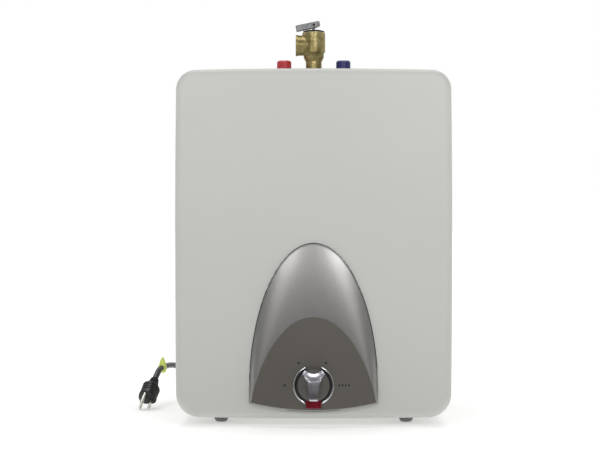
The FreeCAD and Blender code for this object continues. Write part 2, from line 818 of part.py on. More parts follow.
def make_feet():
    """Four domed rubber feet, flat where they stand, each with a peg through the case."""
    radius = foot_width / 2
    profile = [(0, 0), (radius * 0.62, 0), (radius * 0.86, foot_height * 0.14)]
    profile.append((radius, foot_height * 0.42))
    profile += [(radius, seat_low), (foot_peg / 2, seat_low), (foot_peg / 2, seat_low + case_wall + 2)]
    profile += [(0, seat_low + case_wall + 2)]
    spots = four_places(foot_pitch_x, foot_pitch_y)
    feet = [turned(f"foot{k}", profile, x, y) for k, (x, y) in enumerate(spots)]
    return sub_part(group("foot_set", *feet), "feet")


def make_bumpers():
    """Two rubber bumpers that keep the bottom as far from the wall as the bracket does."""
    pads = bumper_rods("bumper_pad", bumper_width, bracket_stand, back_y)
    pegs = bumper_rods("bumper_peg", bumper_peg, case_wall + 2, back_y - case_wall - 2)
    pairs = [fuse(f"bumper{k}", pad, peg) for k, (pad, peg) in enumerate(zip(pads, pegs))]
    return sub_part(group("bumper_set", *pairs), "rear_bumpers")


def make_service_cover():
    """The flush plate under the case, with a hole that reaches the reset button."""
    plate = box("service_plate", service_width, service_deep, service_sheet, cover_x, cover_y,
                seat_low - service_sheet)
    hole = rod("button_hole", button_width + 1, foot_height, button_x, cover_y, seat_low - foot_height / 2)
    posts = []
    for k, side in enumerate((-1, 1)):
        x = button_x + side * limit_width / 3
        posts.append(rod(f"limit_post{k}", 6, limit_low - seat_low, x, cover_y, seat_low))
    base = fuse("service_fused", plate, *posts)
    screws = cover_screw_rods("service_clear", screw_width, seat_low - foot_height, foot_height + 1)
    return sub_part(cut("service_solid", base, hole, *screws), "service_cover")


def make_panel():
    outer = panel_block("panel_outer", 0)
    inner = panel_block("panel_inner", panel_wall.value)
    hollow = cut("panel_hollow", outer, inner)
    pegs = []
    for k, (x, z) in enumerate(peg_places()):
        pegs.append(rod(f"panel_peg{k}", peg_width, panel_relief + case_wall + 2, x, facet_y, z, Y_AXIS))
    tail = arch_prism("peg_tail", panel_wall.value / 2, panel_back.value, case_wall.value + 4)
    keep = fuse("peg_form", panel_block("peg_swell", panel_wall.value / 2), tail)
    solid = fuse("panel_pegged", hollow, common("pegs", fuse("peg_rods", *pegs), keep))
    start = facet_y - panel_relief
    wide = lamp_width + fit_gap * 2
    shaft_hole = rod("panel_shaft_hole", shaft_width + 6, panel_relief * 3, 0, start, dial_z, Y_AXIS)
    lamp_hole = rod("panel_lamp_hole", wide, panel_relief * 3, 0, start, lamp_z, Y_AXIS)
    return sub_part(cut("panel_solid", solid, shaft_hole, lamp_hole), "trim_panel")


def make_dial_face():
    plate = flat_prism("dial_plate", 0.4, facet_y.value, -face_plate.value)
    shaft_hole = rod("face_shaft_hole", shaft_width + 6, 8, 0, facet_y - 4, dial_z, Y_AXIS)
    lamp_hole = rod("face_lamp_hole", lamp_width + fit_gap * 2, 8, 0, facet_y - 4, lamp_z, Y_AXIS)
    return sub_part(cut("dial_solid", plate, shaft_hole, lamp_hole), "dial_face")


def make_dial_ring():
    """The chrome ring round the knob, open at the top and broken by the lamp lens below."""
    outer = rod("ring_body", ring_outer, ring_proud, 0, plate_y, dial_z, -Y_AXIS)
    inner = rod("ring_bore", ring_outer - ring_band * 2, ring_proud + 2, 0, plate_y + 1, dial_z, -Y_AXIS)
    half = math.tan(math.radians(ring_opening.value / 2))
    reach = ring_outer * 0.7
    mouth = pressed("ring_mouth", "XZ_Plane", [(0, 0), (reach * half, reach), (-reach * half, reach)],
                    ring_proud * 4, both=True)
    place(mouth, 0, plate_y, dial_z)
    break_box = box("ring_break", lens_width + fit_gap * 2, ring_proud * 4, lens_height * 2, 0, plate_y,
                    dial_z - lens_radius - lens_height)
    return sub_part(cut("ring_solid", outer, inner, mouth, break_box), "dial_ring")


def make_lens():
    """The red lamp lens: a window over the dial plate whose top edge overhangs the knob's flange."""
    reach = lens_radius + lens_height / 2
    near = lens_radius - lens_height / 2
    leg = knob_width / 2 + knob_gap * 2
    under = knob_gap * 2 + knob_flange
    profile = [(plate_y, dial_z - reach), (plate_y, dial_z - leg), (plate_y - under, dial_z - leg)]
    profile += [(plate_y - under, dial_z - near), (plate_y - lens_proud, dial_z - near)]
    profile += [(plate_y - lens_proud, dial_z - reach + 1), (plate_y - lens_proud + 1, dial_z - reach)]
    return sub_part(pressed("lens", "YZ_Plane", profile, lens_width, both=True), "pilot_lens")


def make_lamp():
    bulb = rod("lamp_bulb", lamp_width, lamp_length, 0, plate_y + 1, lamp_z, Y_AXIS)
    return sub_part(bulb, "pilot_lamp")


def make_knob():
    flange = rod("knob_flange_disc", knob_width, knob_flange, 0, plate_y - knob_gap, dial_z, -Y_AXIS)
    hub = taper("knob_hub", knob_width - 6.6, knob_width - 8, knob_base - knob_flange, 0,
                plate_y - knob_gap - knob_flange, dial_z, -Y_AXIS)
    solid = fuse("knob_fused", flange, hub)
    bore = rod("knob_bore", shaft_width, knob_base - 1, 0, plate_y, dial_z, -Y_AXIS)
    return sub_part(cut("knob_solid", solid, bore), "knob_body")


def make_grip():
    """The chrome grip: wide at the top with a scooped end, narrow at the pointer end."""
    top = knob_width * 0.413
    shoulder = knob_width * 0.31
    waist = knob_width * 0.11
    tail = -knob_width * 0.429
    right = [(knob_width * 0.087, tail), (knob_width * 0.128, waist), (knob_width * 0.342, shoulder)]
    right.append((knob_width * 0.234, top))
    left = [(-x, z) for x, z in reversed(right)]
    bar = pressed("grip_bar", "XZ_Plane", right + left, knob_rise)
    place(bar, 0, plate_y - knob_gap - knob_base, dial_z)
    scoop = rod("grip_scoop", knob_width * 0.52, knob_rise * 2, 0, plate_y, dial_z + knob_width * 0.525,
                -Y_AXIS)
    return sub_part(cut("grip_solid", bar, scoop), "knob_grip")


def make_shaft():
    start = plate_y - knob_gap - knob_base + 1.5
    return sub_part(rod("shaft", shaft_width, control_y + shaft_depth - start, 0, start, dial_z, Y_AXIS),
                    "thermostat_shaft")


def make_control_plate():
    """The steel plate behind the panel that carries the thermostat and the lamp."""
    plate = box("control_panel", opening_width + control_edge * 2, control_sheet,
                opening_low + opening_height - control_low, 0, control_y + control_sheet / 2, control_low)
    neck = rod("control_neck_hole", bushing_width, 10, 0, control_y - 5, dial_z, Y_AXIS)
    lamp = rod("control_lamp_hole", lamp_width, 10, 0, control_y - 5, lamp_z, Y_AXIS)
    screws = control_screw_rods("control_clear", screw_width, 2)
    return sub_part(cut("control_solid", plate, neck, lamp, *screws), "control_plate")


def make_control_screws():
    shanks = control_screw_rods("control_shank", screw_width - 1, 2)
    back = control_y + control_sheet
    screws = []
    for k, shank in enumerate(shanks):
        spot = shank.Placement.Base
        bind(shank, Height=back - (front_y + case_wall - 2))
        head = doc.addObject("Part::Cylinder", f"control_head{k}")
        bind(head, Radius=screw_head / 2 - 0.5, Height=screw_thick)
        head.Placement = FreeCAD.Placement(V(spot.x, back.value, spot.z), along(Y_AXIS))
        screws.append(fuse(f"control_screw{k}", head, shank))
    return sub_part(group("control_screw_set", *screws), "control_screws")


def make_thermostat():
    start = control_y + control_sheet
    body = box("thermostat_box", thermostat_width, thermostat_deep, thermostat_height, 0,
               start + thermostat_deep / 2, dial_z - thermostat_height / 2)
    neck = rod("thermostat_neck", bushing_width, start - control_y + neck_reach, 0, start, dial_z, -Y_AXIS)
    bore = rod("thermostat_bore", shaft_width + run_fit * 2, shaft_depth + neck_reach * 2, 0,
               control_y - neck_reach - 1, dial_z, Y_AXIS)
    bind(bore, Height=shaft_depth + neck_reach + 1 + run_fit)
    tabs = [box(f"thermostat_tab{k}", 5, 8, 3, side * thermostat_width / 4, start + thermostat_deep + 3,
                dial_z + 6) for k, side in enumerate((-1, 1))]
    solid = fuse("thermostat_fused", body, neck, *tabs)
    return sub_part(cut("thermostat_solid", solid, bore), "thermostat_body")


def make_limit_control():
    """The high-limit cut-out, whose reset button points down through the service cover."""
    body = box("limit_box", limit_width, limit_deep, limit_height, button_x, cover_y, limit_low)
    nose = rod("limit_nose", button_width + 6, limit_low - seat_low - 2, button_x, cover_y, seat_low + 2)
    bore = rod("limit_bore", button_width + run_fit * 2, button_length, button_x, cover_y, button_low)
    bind(bore, Height=button_length + button_travel + run_fit)
    return sub_part(cut("limit_solid", fuse("limit_fused", body, nose), bore), "high_limit_control")


def make_reset_button():
    pin = rod("reset_pin", button_width, button_length, button_x, cover_y, button_low)
    return sub_part(pin, "reset_button")


# Tank and what goes into it

dome_low_z = tank_bottom + dome_height
dome_high_z = dome_low_z + tank_straight
tank_top = dome_high_z + dome_height
neck_low = tank_bottom - neck_height
gasket_low = neck_low - gasket_plate
flange_low = gasket_low - flange_plate


def half_ball(name, width, height, z, upper):
    """Half of an ellipsoid that stands on, or hangs from, a level."""
    ball = doc.addObject("Part::Ellipsoid", name)
    bind(ball, Radius1=height, Radius2=as_dim(width) / 2, Radius3=as_dim(width) / 2)
    ball.Angle1 = 0 if upper else -90
    ball.Angle2 = 90 if upper else 0
    return place(ball, 0, 0, z)


def tank_form(name, grow):
    """The tank's outer form as one solid, grown on every side."""
    wide = tank_width + grow * 2
    tube = rod(name + "_tube", wide, tank_straight, 0, 0, dome_low_z)
    low = half_ball(name + "_low", wide, dome_height + grow, dome_low_z, False)
    high = half_ball(name + "_high", wide, dome_height + grow, dome_high_z, True)
    return fuse(name, tube, low, high)


def make_tank():
    tube = rod("tank_tube", tank_width, tank_straight, 0, 0, dome_low_z)
    bore = rod("tank_bore", tank_width - tank_wall * 2, tank_straight, 0, 0, dome_low_z)
    sub_part(cut("tank_tube_solid", tube, bore), "tank_shell")
    top = half_ball("top_outer", tank_width, dome_height, dome_high_z, True)
    inner_width, inner_dome = tank_width - tank_wall * 2, dome_height - tank_wall
    top_inner = half_ball("top_inner", inner_width, inner_dome, dome_high_z, True)
    holes = [rod(f"dome_hole{k}", wide, dome_height * 2, x, 0, dome_high_z)
             for k, (x, wide) in enumerate(top_fittings())]
    sub_part(cut("top_dome_solid", top, top_inner, *holes), "tank_top_dome")
    low = half_ball("low_outer", tank_width, dome_height, dome_low_z, False)
    neck = rod("tank_neck", neck_width, neck_height * 2, 0, 0, neck_low)
    low_inner = half_ball("low_inner", inner_width, inner_dome, dome_low_z, False)
    mouth = rod("tank_mouth", neck_bore, neck_height * 6, 0, 0, neck_low - 1)
    bolts = bolt_rods("neck_thread", bolt_width, gasket_low, bolt_length)
    solid = fuse("low_dome_fused", low, neck)
    sub_part(cut("low_dome_solid", solid, low_inner, mouth, *bolts), "tank_bottom_dome")


def bolt_rods(name, width, start, length):
    """Six rods on the flange's bolt circle."""
    spots = [(math.cos(math.radians(60 * k + 30)), math.sin(math.radians(60 * k + 30))) for k in range(6)]
    return [rod(f"{name}{k}", width, length, bolt_circle / 2 * x, bolt_circle / 2 * y, start)
            for k, (x, y) in enumerate(spots)]


def flange_inserts(name, grow):
    """Rods for everything that goes through the flange: the element's legs, the anode, two pockets."""
    depth = flange_plate * 4
    start = flange_low - flange_plate
    legs = [rod(f"{name}_leg{k}", heater_rod + grow, depth, side * heater_pitch / 2, heater_y, start)
            for k, side in enumerate((-1, 1))]
    anode = rod(f"{name}_anode", anode_thread + grow, depth, 0, anode_y, start)
    pockets = [rod(f"{name}_pocket{k}", pocket_width + grow, depth, side * pocket_x, pocket_y, start)
               for k, side in enumerate((-1, 1))]
    return legs + [anode] + pockets


def make_flange():
    disc = rod("flange_disc", neck_width, flange_plate, 0, 0, flange_low)
    tools = flange_inserts("flange_hole", 0) + bolt_rods("flange_bolt_hole", bolt_width, flange_low - 1, 12)
    sub_part(cut("flange_solid", disc, *tools), "element_flange")
    ring = rod("gasket_ring", neck_width, gasket_plate, 0, 0, gasket_low)
    mouth = rod("gasket_mouth", neck_bore, gasket_plate + 2, 0, 0, gasket_low - 1)
    clears = bolt_rods("gasket_hole", bolt_width, gasket_low - 1, gasket_plate + 2)
    sub_part(cut("gasket_solid", ring, mouth, *clears), "flange_gasket")
    shanks = bolt_rods("bolt_shank", bolt_width, flange_low, bolt_length + flange_plate)
    heads = bolt_rods("bolt_head", bolt_width * 1.6, flange_low - bolt_width * 0.6, 1)
    for head in heads:
        bind(head, Height=bolt_width * 0.6)
    bolts = [fuse(f"flange_bolt{k}", shank, head) for k, (shank, head) in enumerate(zip(shanks, heads))]
    sub_part(group("flange_bolt_set", *bolts), "flange_bolts")


def make_element():
    """The heating element: a hairpin of sheathed rod with its two cold ends below the flange."""
    low = flange_low - element_tail
    straight = gasket_low + heater_height - low
    legs = [rod(f"element_leg{k}", heater_rod, straight, side * heater_pitch / 2, heater_y, low)
            for k, side in enumerate((-1, 1))]
    bend = doc.addObject("Part::Torus", "element_bend")
    bind(bend, Radius1=heater_pitch / 2, Radius2=heater_rod / 2)
    bend.Angle3 = 180
    place(bend, 0, heater_y, low + straight, FreeCAD.Rotation(X_AXIS, 90))
    return sub_part(fuse("element_solid", bend, *legs), "heating_element")


def make_anode():
    head = rod("anode_head", anode_thread * 1.4, 6, 0, anode_y, flange_low - 6)
    thread = rod("anode_neck", anode_thread, flange_plate + gasket_plate, 0, anode_y, flange_low)
    bar = rod("anode_bar", anode_width, anode_height, 0, anode_y, neck_low)
    return sub_part(fuse("anode_solid", head, thread, bar), "anode_rod")


def make_pockets():
    """Two blind tubes that hold the sensing bulbs of the thermostat and of the high-limit cut-out."""
    tubes = []
    for k, side in enumerate((-1, 1)):
        x = side * pocket_x
        tube = rod(f"pocket_tube{k}", pocket_width, pocket_height + 10, x, pocket_y, flange_low - 6)
        bore = rod(f"pocket_bore{k}", pocket_width - 2, pocket_height + 8, x, pocket_y, flange_low - 7)
        tubes.append(cut(f"pocket{k}", tube, bore))
    return sub_part(group("pocket_set", *tubes), "sensor_pockets")


def make_fittings():
    low = dome_high_z + dome_height * 0.7
    for label, side in (("hot_nipple", -1), ("cold_nipple", 1)):
        x = side * nipple_pitch / 2
        tube = rod(label + "_tube", nipple_width, nipple_top - low, x, 0, low)
        bore = rod(label + "_bore", nipple_bore, nipple_top - low + 2, x, 0, low - 1)
        sub_part(cut(label + "_solid", tube, bore), label)
    sleeve = rod("dip_sleeve", nipple_bore, dip_height, nipple_pitch / 2, 0, dip_low)
    bore = rod("dip_bore", nipple_bore - 3, dip_height + 2, nipple_pitch / 2, 0, dip_low - 1)
    sub_part(cut("dip_solid", sleeve, bore), "dip_tube")
    for label, side in (("hot_cap", -1), ("cold_cap", 1)):
        wide = nipple_width + cap_fit * 2 + cap_wall * 2
        x = side * nipple_pitch / 2
        top = cap_height - cap_chamfer
        inside = nipple_width / 2 + cap_fit
        profile = [(inside, 0), (wide / 2, 0), (wide / 2, top), (wide / 2 - cap_chamfer, cap_height)]
        profile += [(0, cap_height), (0, cap_height - cap_wall), (inside, cap_height - cap_wall)]
        sub_part(turned(label + "_turned", profile, x, 0, nipple_top + cap_wall - cap_height), label)
    socket = rod("socket_outer", socket_width, top_z + socket_stand - tank_top + 4, 0, 0, tank_top - 4)
    thread = rod("socket_bore", thread_width, dome_height * 4, 0, 0, tank_top - 5)
    sub_part(cut("socket_solid", socket, thread), "relief_socket")
    rings = []
    for k, (x, wide) in enumerate(top_fittings()):
        outer = rod(f"collar_outer{k}", wide + collar_edge * 2, collar_plate, x, 0, seat_top)
        inner = rod(f"collar_inner{k}", wide + fit_gap * 2, collar_plate + 2, x, 0, seat_top - 1)
        rings.append(cut(f"collar{k}", outer, inner))
    sub_part(group("collar_set", *rings), "top_collars")


# Relief valve

valve_floor = top_z + valve_low
valve_lid = top_z + valve_top
pivot_z = top_z + pivot_height
disc_low = valve_floor + fit_gap
disc_top = disc_low + disc_thick


def make_valve_body():
    neck = rod("valve_neck", thread_width, hex_low - thread_low, 0, 0, top_z + thread_low)
    corner = hex_flats / math.sqrt(3)
    half = hex_flats / 2
    points = [(0, corner), (half, corner / 2), (half, -corner / 2), (0, -corner), (-half, -corner / 2)]
    points.append((-half, corner / 2))
    prism = pressed("valve_prism", "XY_Plane", points, valve_low - hex_low)
    place(prism, 0, 0, top_z + hex_low)
    wide = hex_flats * 1.2
    cone = taper("nut_cone", thread_width + 0.4, wide, hex_chamfer, 0, 0, top_z + hex_low)
    post = rod("nut_post", wide, valve_low, 0, 0, top_z + hex_low + hex_chamfer)
    nut = common("valve_nut", prism, fuse("nut_envelope", cone, post))
    barrel = rod("valve_barrel", valve_width, valve_top - valve_low, 0, 0, valve_floor)
    branch = rod("valve_branch", outlet_width, outlet_reach, 0, 0, top_z + outlet_height, -X_AXIS)
    rim = rod("valve_rim", outlet_width + 1.2, 3, -outlet_reach, 0, top_z + outlet_height, X_AXIS)
    solid = fuse("valve_fused", neck, nut, barrel, branch, rim)
    inlet = rod("valve_inlet", seat_bore, valve_low - thread_low + 1, 0, 0, top_z + thread_low - 1)
    chamber = rod("valve_chamber", chamber_width, valve_top - valve_low + 1, 0, 0, valve_floor)
    level = top_z + outlet_height
    mouth = rod("valve_mouth", outlet_bore, outlet_depth, -outlet_reach, 0, level, X_AXIS)
    throat = rod("valve_throat", outlet_bore - 5, outlet_reach, -outlet_reach, 0, level, X_AXIS)
    return sub_part(cut("valve_solid", solid, inlet, chamber, mouth, throat), "valve_body")


def make_valve_cap():
    """The dark domed cap that closes the valve's spring chamber and guides the stem."""
    reach = valve_width / 2 - 1.2
    hole = stem_width / 2 + run_fit
    profile = [(hole, 0), (reach, 0), (reach, cap_rim), (reach * 0.7, cap_rim + 1.2), (hole, cap_rim + 2)]
    return sub_part(turned("valve_cap_turned", profile, 0, 0, valve_lid), "valve_cap")


def make_valve_stem():
    bar = rod("stem_bar", stem_width, pivot_z - disc_top, 0, 0, disc_top)
    eye = rod("stem_eye", pin_width + 2, stem_width + 1, 0, -(stem_width + 1) / 2, pivot_z, Y_AXIS)
    hole = rod("stem_hole", pin_width, stem_width + 3, 0, -(stem_width + 3) / 2, pivot_z, Y_AXIS)
    sub_part(cut("stem_solid", fuse("stem_fused", bar, eye), hole), "valve_stem")
    sub_part(rod("disc", seat_bore + 4, disc_thick, 0, 0, disc_low), "valve_disc")
    pin = rod("pin", pin_width, lever_width + 2, 0, -(lever_width + 2) / 2, pivot_z, Y_AXIS)
    sub_part(pin, "lever_pin")


def make_lever():
    """The test lever: a pressed steel channel, open below, tilted up to the right."""
    tail = -(lever_length - lever_nose)
    top = lever_depth / 2
    outline = [(tail, -top), (tail, top), (lever_nose, top), (lever_nose, -top * 0.7)]
    outline.append((lever_nose * 0.3, -top))
    channel = pressed("lever_channel", "XZ_Plane", outline, lever_width, both=True)
    hollow = box("lever_hollow", lever_length * 3, lever_width - lever_sheet * 2, lever_depth, 0, 0,
                 -top - lever_sheet)
    hole = rod("lever_hole", pin_width + run_fit * 2, lever_width * 2, 0, -lever_width, 0, Y_AXIS)
    solid = cut("lever_solid", channel, hollow, hole)
    tilt = FreeCAD.Rotation(Y_AXIS, -lever_tilt.value)
    return sub_part(place(solid, 0, 0, pivot_z, tilt), "valve_lever")


def make_valve_spring():
    """The spring that holds the disc down, inside the valve body: turns of one unbroken wire."""
    wire = spring_wire.value
    low = disc_top.value + wire / 2 + fit_gap.value
    high = valve_lid.value - wire / 2 - fit_gap.value
    radius = chamber_width.value / 2 - wire / 2 - 1
    halves = round(spring_turns.value * 2)
    step = (high - low) / halves
    pieces = []
    for k in range(halves):
        side = 1 if k % 2 == 0 else -1
        start, end = V(radius * side, 0, low + step * k), V(-radius * side, 0, low + step * (k + 1))
        way, end_way = V(0, side * math.pi * radius, step), V(0, -side * math.pi * radius, step)
        way.normalize()
        end_way.normalize()
        pieces += biarc(start, way, end, end_way)
    turns = Part.Wire([piece.toShape() for piece in pieces])
    print(f"valve_spring: least gap {least_self_gap(turns, wire):.2f}")
    return sub_part(tube_on("spring", turns, wire), "valve_spring")


def make_probe():
    tube = rod("probe_tube", probe_width, probe_length, 0, 0, top_z + thread_low + 3, -Z_AXIS)
    head = rod("probe_head", seat_bore, 3, 0, 0, top_z + thread_low, Z_AXIS)
    return sub_part(fuse("probe_solid", tube, head), "valve_probe")


# Insulation and wall bracket


def make_foam():
    inset = case_wall + lap_wall + fit_gap * 2
    keep = tank_form("tank_space", foam_gap)
    chamber = box("works_space", works_width, case_depth / 2 + works_back, flange_low + 12, works_x,
                  front_y + (case_depth / 2 + works_back) / 2, 0)
    mouth = rod("neck_space", neck_width + 10, tank_bottom, 0, 0, bottom_z)
    cabinet = box("control_space", opening_width + control_edge * 2 + 8, 36,
                  opening_low + opening_height - bottom_z + 8, 0, control_y + 14, bottom_z)
    channel = box("wire_channel", block_width + 8, case_depth, gland_height + 20, gland_x,
                  works_back + case_depth / 2 - 5, 0)
    columns = [rod(f"foam_column{k}", wide + foam_gap * 2, case_height, x, 0, tank_bottom + dome_height)
               for k, (x, wide) in enumerate(top_fittings())]
    bosses = []
    for k, side in enumerate((-1, 1)):
        x = side * case_screw_x
        deep, tall = lap_length + 4, boss_height + 16
        bosses.append(box(f"foam_low_boss{k}", 16, deep, tall, x, case_screw_y, bottom_z))
        bosses.append(box(f"foam_high_boss{k}", 16, deep, tall, x, case_screw_y, top_z - tall))
    feet = [rod(f"foam_foot{k}", foot_peg + 4, 12, x, y, bottom_z)
            for k, (x, y) in enumerate(four_places(foot_pitch_x, foot_pitch_y))]
    pegs = bumper_rods("foam_bumper", bumper_peg + 4, 20, back_y - 16)
    spaces = fuse("foam_spaces", keep, chamber, mouth, cabinet, channel, *columns, *bosses, *feet, *pegs)
    front = case_block("foam_front_block", inset, front_y - 10, case_depth / 2 + 10 - foam_gap / 2)
    rear = case_block("foam_rear_block", inset, foam_gap / 2, case_depth / 2 - inset - foam_gap / 2, False)
    sub_part(cut("foam_front_solid", front, spaces), "foam_front")
    sub_part(cut("foam_rear_solid", rear, spaces), "foam_rear")


def make_bracket():
    """The wall bracket: a hat of folded steel with two slots, screwed to the back of the case."""
    out = back_y + bracket_stand
    half = bracket_height / 2
    foot = half + bracket_foot
    sheet_y = back_y + bracket_sheet
    upper = [(back_y, foot), (sheet_y, foot), (sheet_y, half), (out, half), (out, -half), (sheet_y, -half)]
    lower = [(sheet_y, -foot), (back_y, -foot), (back_y, -half + bracket_sheet)]
    inner = [(out - bracket_sheet, -half + bracket_sheet), (out - bracket_sheet, half - bracket_sheet)]
    profile = upper + lower + inner + [(back_y, half - bracket_sheet)]
    hat = pressed("bracket_hat", "YZ_Plane", profile, bracket_length, both=True)
    place(hat, 0, 0, bracket_level)
    tools = bracket_screw_rods("bracket_clear", screw_width, 4)
    for k, side in enumerate((-1, 1)):
        x = side * slot_pitch / 2
        reach = (slot_length - slot_width) / 2
        tools.append(box(f"slot_middle{k}", reach * 2, bracket_sheet * 4, slot_width, x, out,
                         bracket_level - slot_width / 2))
        for end in (-1, 1):
            tools.append(rod(f"slot_end{k}{end}", slot_width, bracket_sheet * 4, x + end * reach,
                             out - bracket_sheet * 2, bracket_level, Y_AXIS))
    sub_part(cut("bracket_solid", hat, *tools), "wall_bracket")
    shanks = bracket_screw_rods("bracket_shank", screw_width - 1, 4)
    heads = bracket_screw_rods("bracket_head", screw_head, 0)
    screws = []
    for k, (shank, head) in enumerate(zip(shanks, heads)):
        spot = head.Placement.Base
        place(head, spot.x, back_y + bracket_sheet, spot.z, along(Y_AXIS))
        bind(head, Height=screw_thick)
        screws.append(fuse(f"bracket_screw{k}", shank, head))
    sub_part(group("bracket_screw_set", *screws), "bracket_screws")



# Cord, wires and plug


def bent_wire(name, points):
    """Straight runs joined by tangent arcs; each arc takes 0.45 of the shorter run beside it."""
    corners = [V(*point) for point in points]
    pieces = []
    radii = []
    here = corners[0]
    for before, corner, after in zip(corners, corners[1:], corners[2:]):
        inward, outward = corner - before, after - corner
        half = inward.getAngle(outward) / 2
        taken = 0.45 * min(inward.Length, outward.Length)
        inward.normalize()
        outward.normalize()
        radius = taken / math.tan(half)
        radii.append(radius)
        bisector = outward - inward
        bisector.normalize()
        middle = corner + bisector * (radius / math.cos(half) - radius)
        start, end = corner - inward * taken, corner + outward * taken
        pieces += [Part.LineSegment(here, start), Part.Arc(start, middle, end)]
        here = end
    pieces.append(Part.LineSegment(here, corners[-1]))
    print(f"{name}: bend radii {', '.join(f'{r:.0f}' for r in radii)}")
    return Part.Wire([piece.toShape() for piece in pieces])


def coil_wire():
    """Two and a quarter turns in two layers: in along the floor, up in half a turn, and out on top."""
    pitch = coil_pitch.value
    low = cord_width.value / 2 + floor_gap.value
    high = low + pitch
    radius = coil_radius.value
    far = [radius, -(radius - pitch / 2), radius - pitch, -(radius - pitch * 1.5), radius - pitch / 2]
    levels = [low, low, low, high, high]
    middle = (back_y + coil_stand).value
    spots = [V(coil_x.value + x, middle, z) for x, z in zip(far, levels)]
    lead = cord_width.value * 1.06
    pieces = [Part.LineSegment(spots[0] + V(0, lead, 0), spots[0])]
    for k in range(4):
        way = V(0, -1, 0) if k % 2 == 0 else V(0, 1, 0)
        pieces += biarc(spots[k], way, spots[k + 1], -way)
    out = radius - pitch / 4
    last = spots[4] + V(-out, -out, 0)
    pieces.append(arc_from(spots[4], V(0, -1, 0), last))
    pieces.append(Part.LineSegment(last, last + V(-lead, 0, 0)))
    return Part.Wire([piece.toShape() for piece in pieces])


relief_tip = back_y + relief_flange + relief_length
coil = coil_wire()
coil_in = coil.Edges[0].valueAt(coil.Edges[0].FirstParameter)
coil_out = coil.Edges[-1].valueAt(coil.Edges[-1].LastParameter)
side_x = -(case_width / 2).value
behind = back_y.value
plug_neck_at = V(side_x - 46.3, 56, 38)
plug_way = V(-0.2, -0.762, -0.616)
plug_way.normalize()

out_y = relief_tip.value
cord_points = [(gland_x.value, out_y, gland_height.value), (gland_x.value, out_y + 28.5, gland_height.value)]
cord_points += [(-126, out_y + 56.5, 55), (-112.5, out_y + 82.5, 45.5), (-87, out_y + 99.5, 33)]
cord_points += [(-57, out_y + 101, 20.5), (-32.5, out_y + 85, 10.3)]
cord_points += [(coil_in.x, coil_in.y + 26, coil_in.z), tuple(coil_in)]
lead_points = [tuple(coil_out), (coil_out.x - 20, coil_out.y, coil_out.z), (-136, behind + 18, 20.5)]
lead_points += [(side_x + 9.5, behind + 14, 33.5), (side_x - 12.5, behind - 4, 44.5)]
lead_points += [(side_x - 23, behind - 23, 50.5), (side_x - 30.5, behind - 46, 53)]
lead_points += [(side_x - 36.5, 103, 53.3), (side_x - 41, 80.2, 51.6), tuple(plug_neck_at - plug_way * 14)]
lead_points.append(tuple(plug_neck_at))


def make_cord():
    width = cord_width.value
    sub_part(tube_on("cord_tube", bent_wire("power_cord", cord_points), width), "power_cord")
    sub_part(tube_on("coil_tube", coil, width), "cord_coil")
    print(f"cord_coil: least gap {least_self_gap(coil, width):.2f}")
    sub_part(tube_on("lead_tube", bent_wire("cord_lead", lead_points), width), "cord_lead")


def make_gland():
    """The cord gland in the back of the case, its tapered relief, and the cord's end inside the case."""
    hole = cord_width / 2 + fit_gap / 2
    inside = case_wall + 6
    nut = gland_width / 2 + 3
    neck = gland_width / 2
    profile = [(hole, -inside), (nut, -inside), (nut, -case_wall), (neck, -case_wall), (neck, 0), (nut, 0)]
    profile += [(nut, relief_flange), (hole, relief_flange)]
    sub_part(turned("gland_turned", profile, gland_x, back_y, gland_height, Y_AXIS), "cord_gland")
    relief = [(hole, 0), (relief_width / 2, 0), (relief_end / 2, relief_length), (hole, relief_length)]
    relief = turned("relief_turned", relief, gland_x, back_y + relief_flange, gland_height, Y_AXIS)
    sub_part(relief, "strain_relief")
    start = back_y - block_back + block_deep / 2
    tail = rod("tail_rod", cord_width, relief_tip - start, gland_x, start, gland_height, Y_AXIS)
    sub_part(tail, "supply_tail")


def make_terminal_block():
    low = gland_height - block_height / 2
    body = box("block_body", block_width, block_deep, block_height, gland_x, back_y - block_back, low)
    pitch = block_width * 0.3
    screws = [rod(f"block_screw{k}", 5, 2, gland_x + step * pitch, back_y - block_back, low + block_height)
              for k, step in enumerate((-1, 0, 1))]
    return sub_part(fuse("block_solid", body, *screws), "terminal_block")


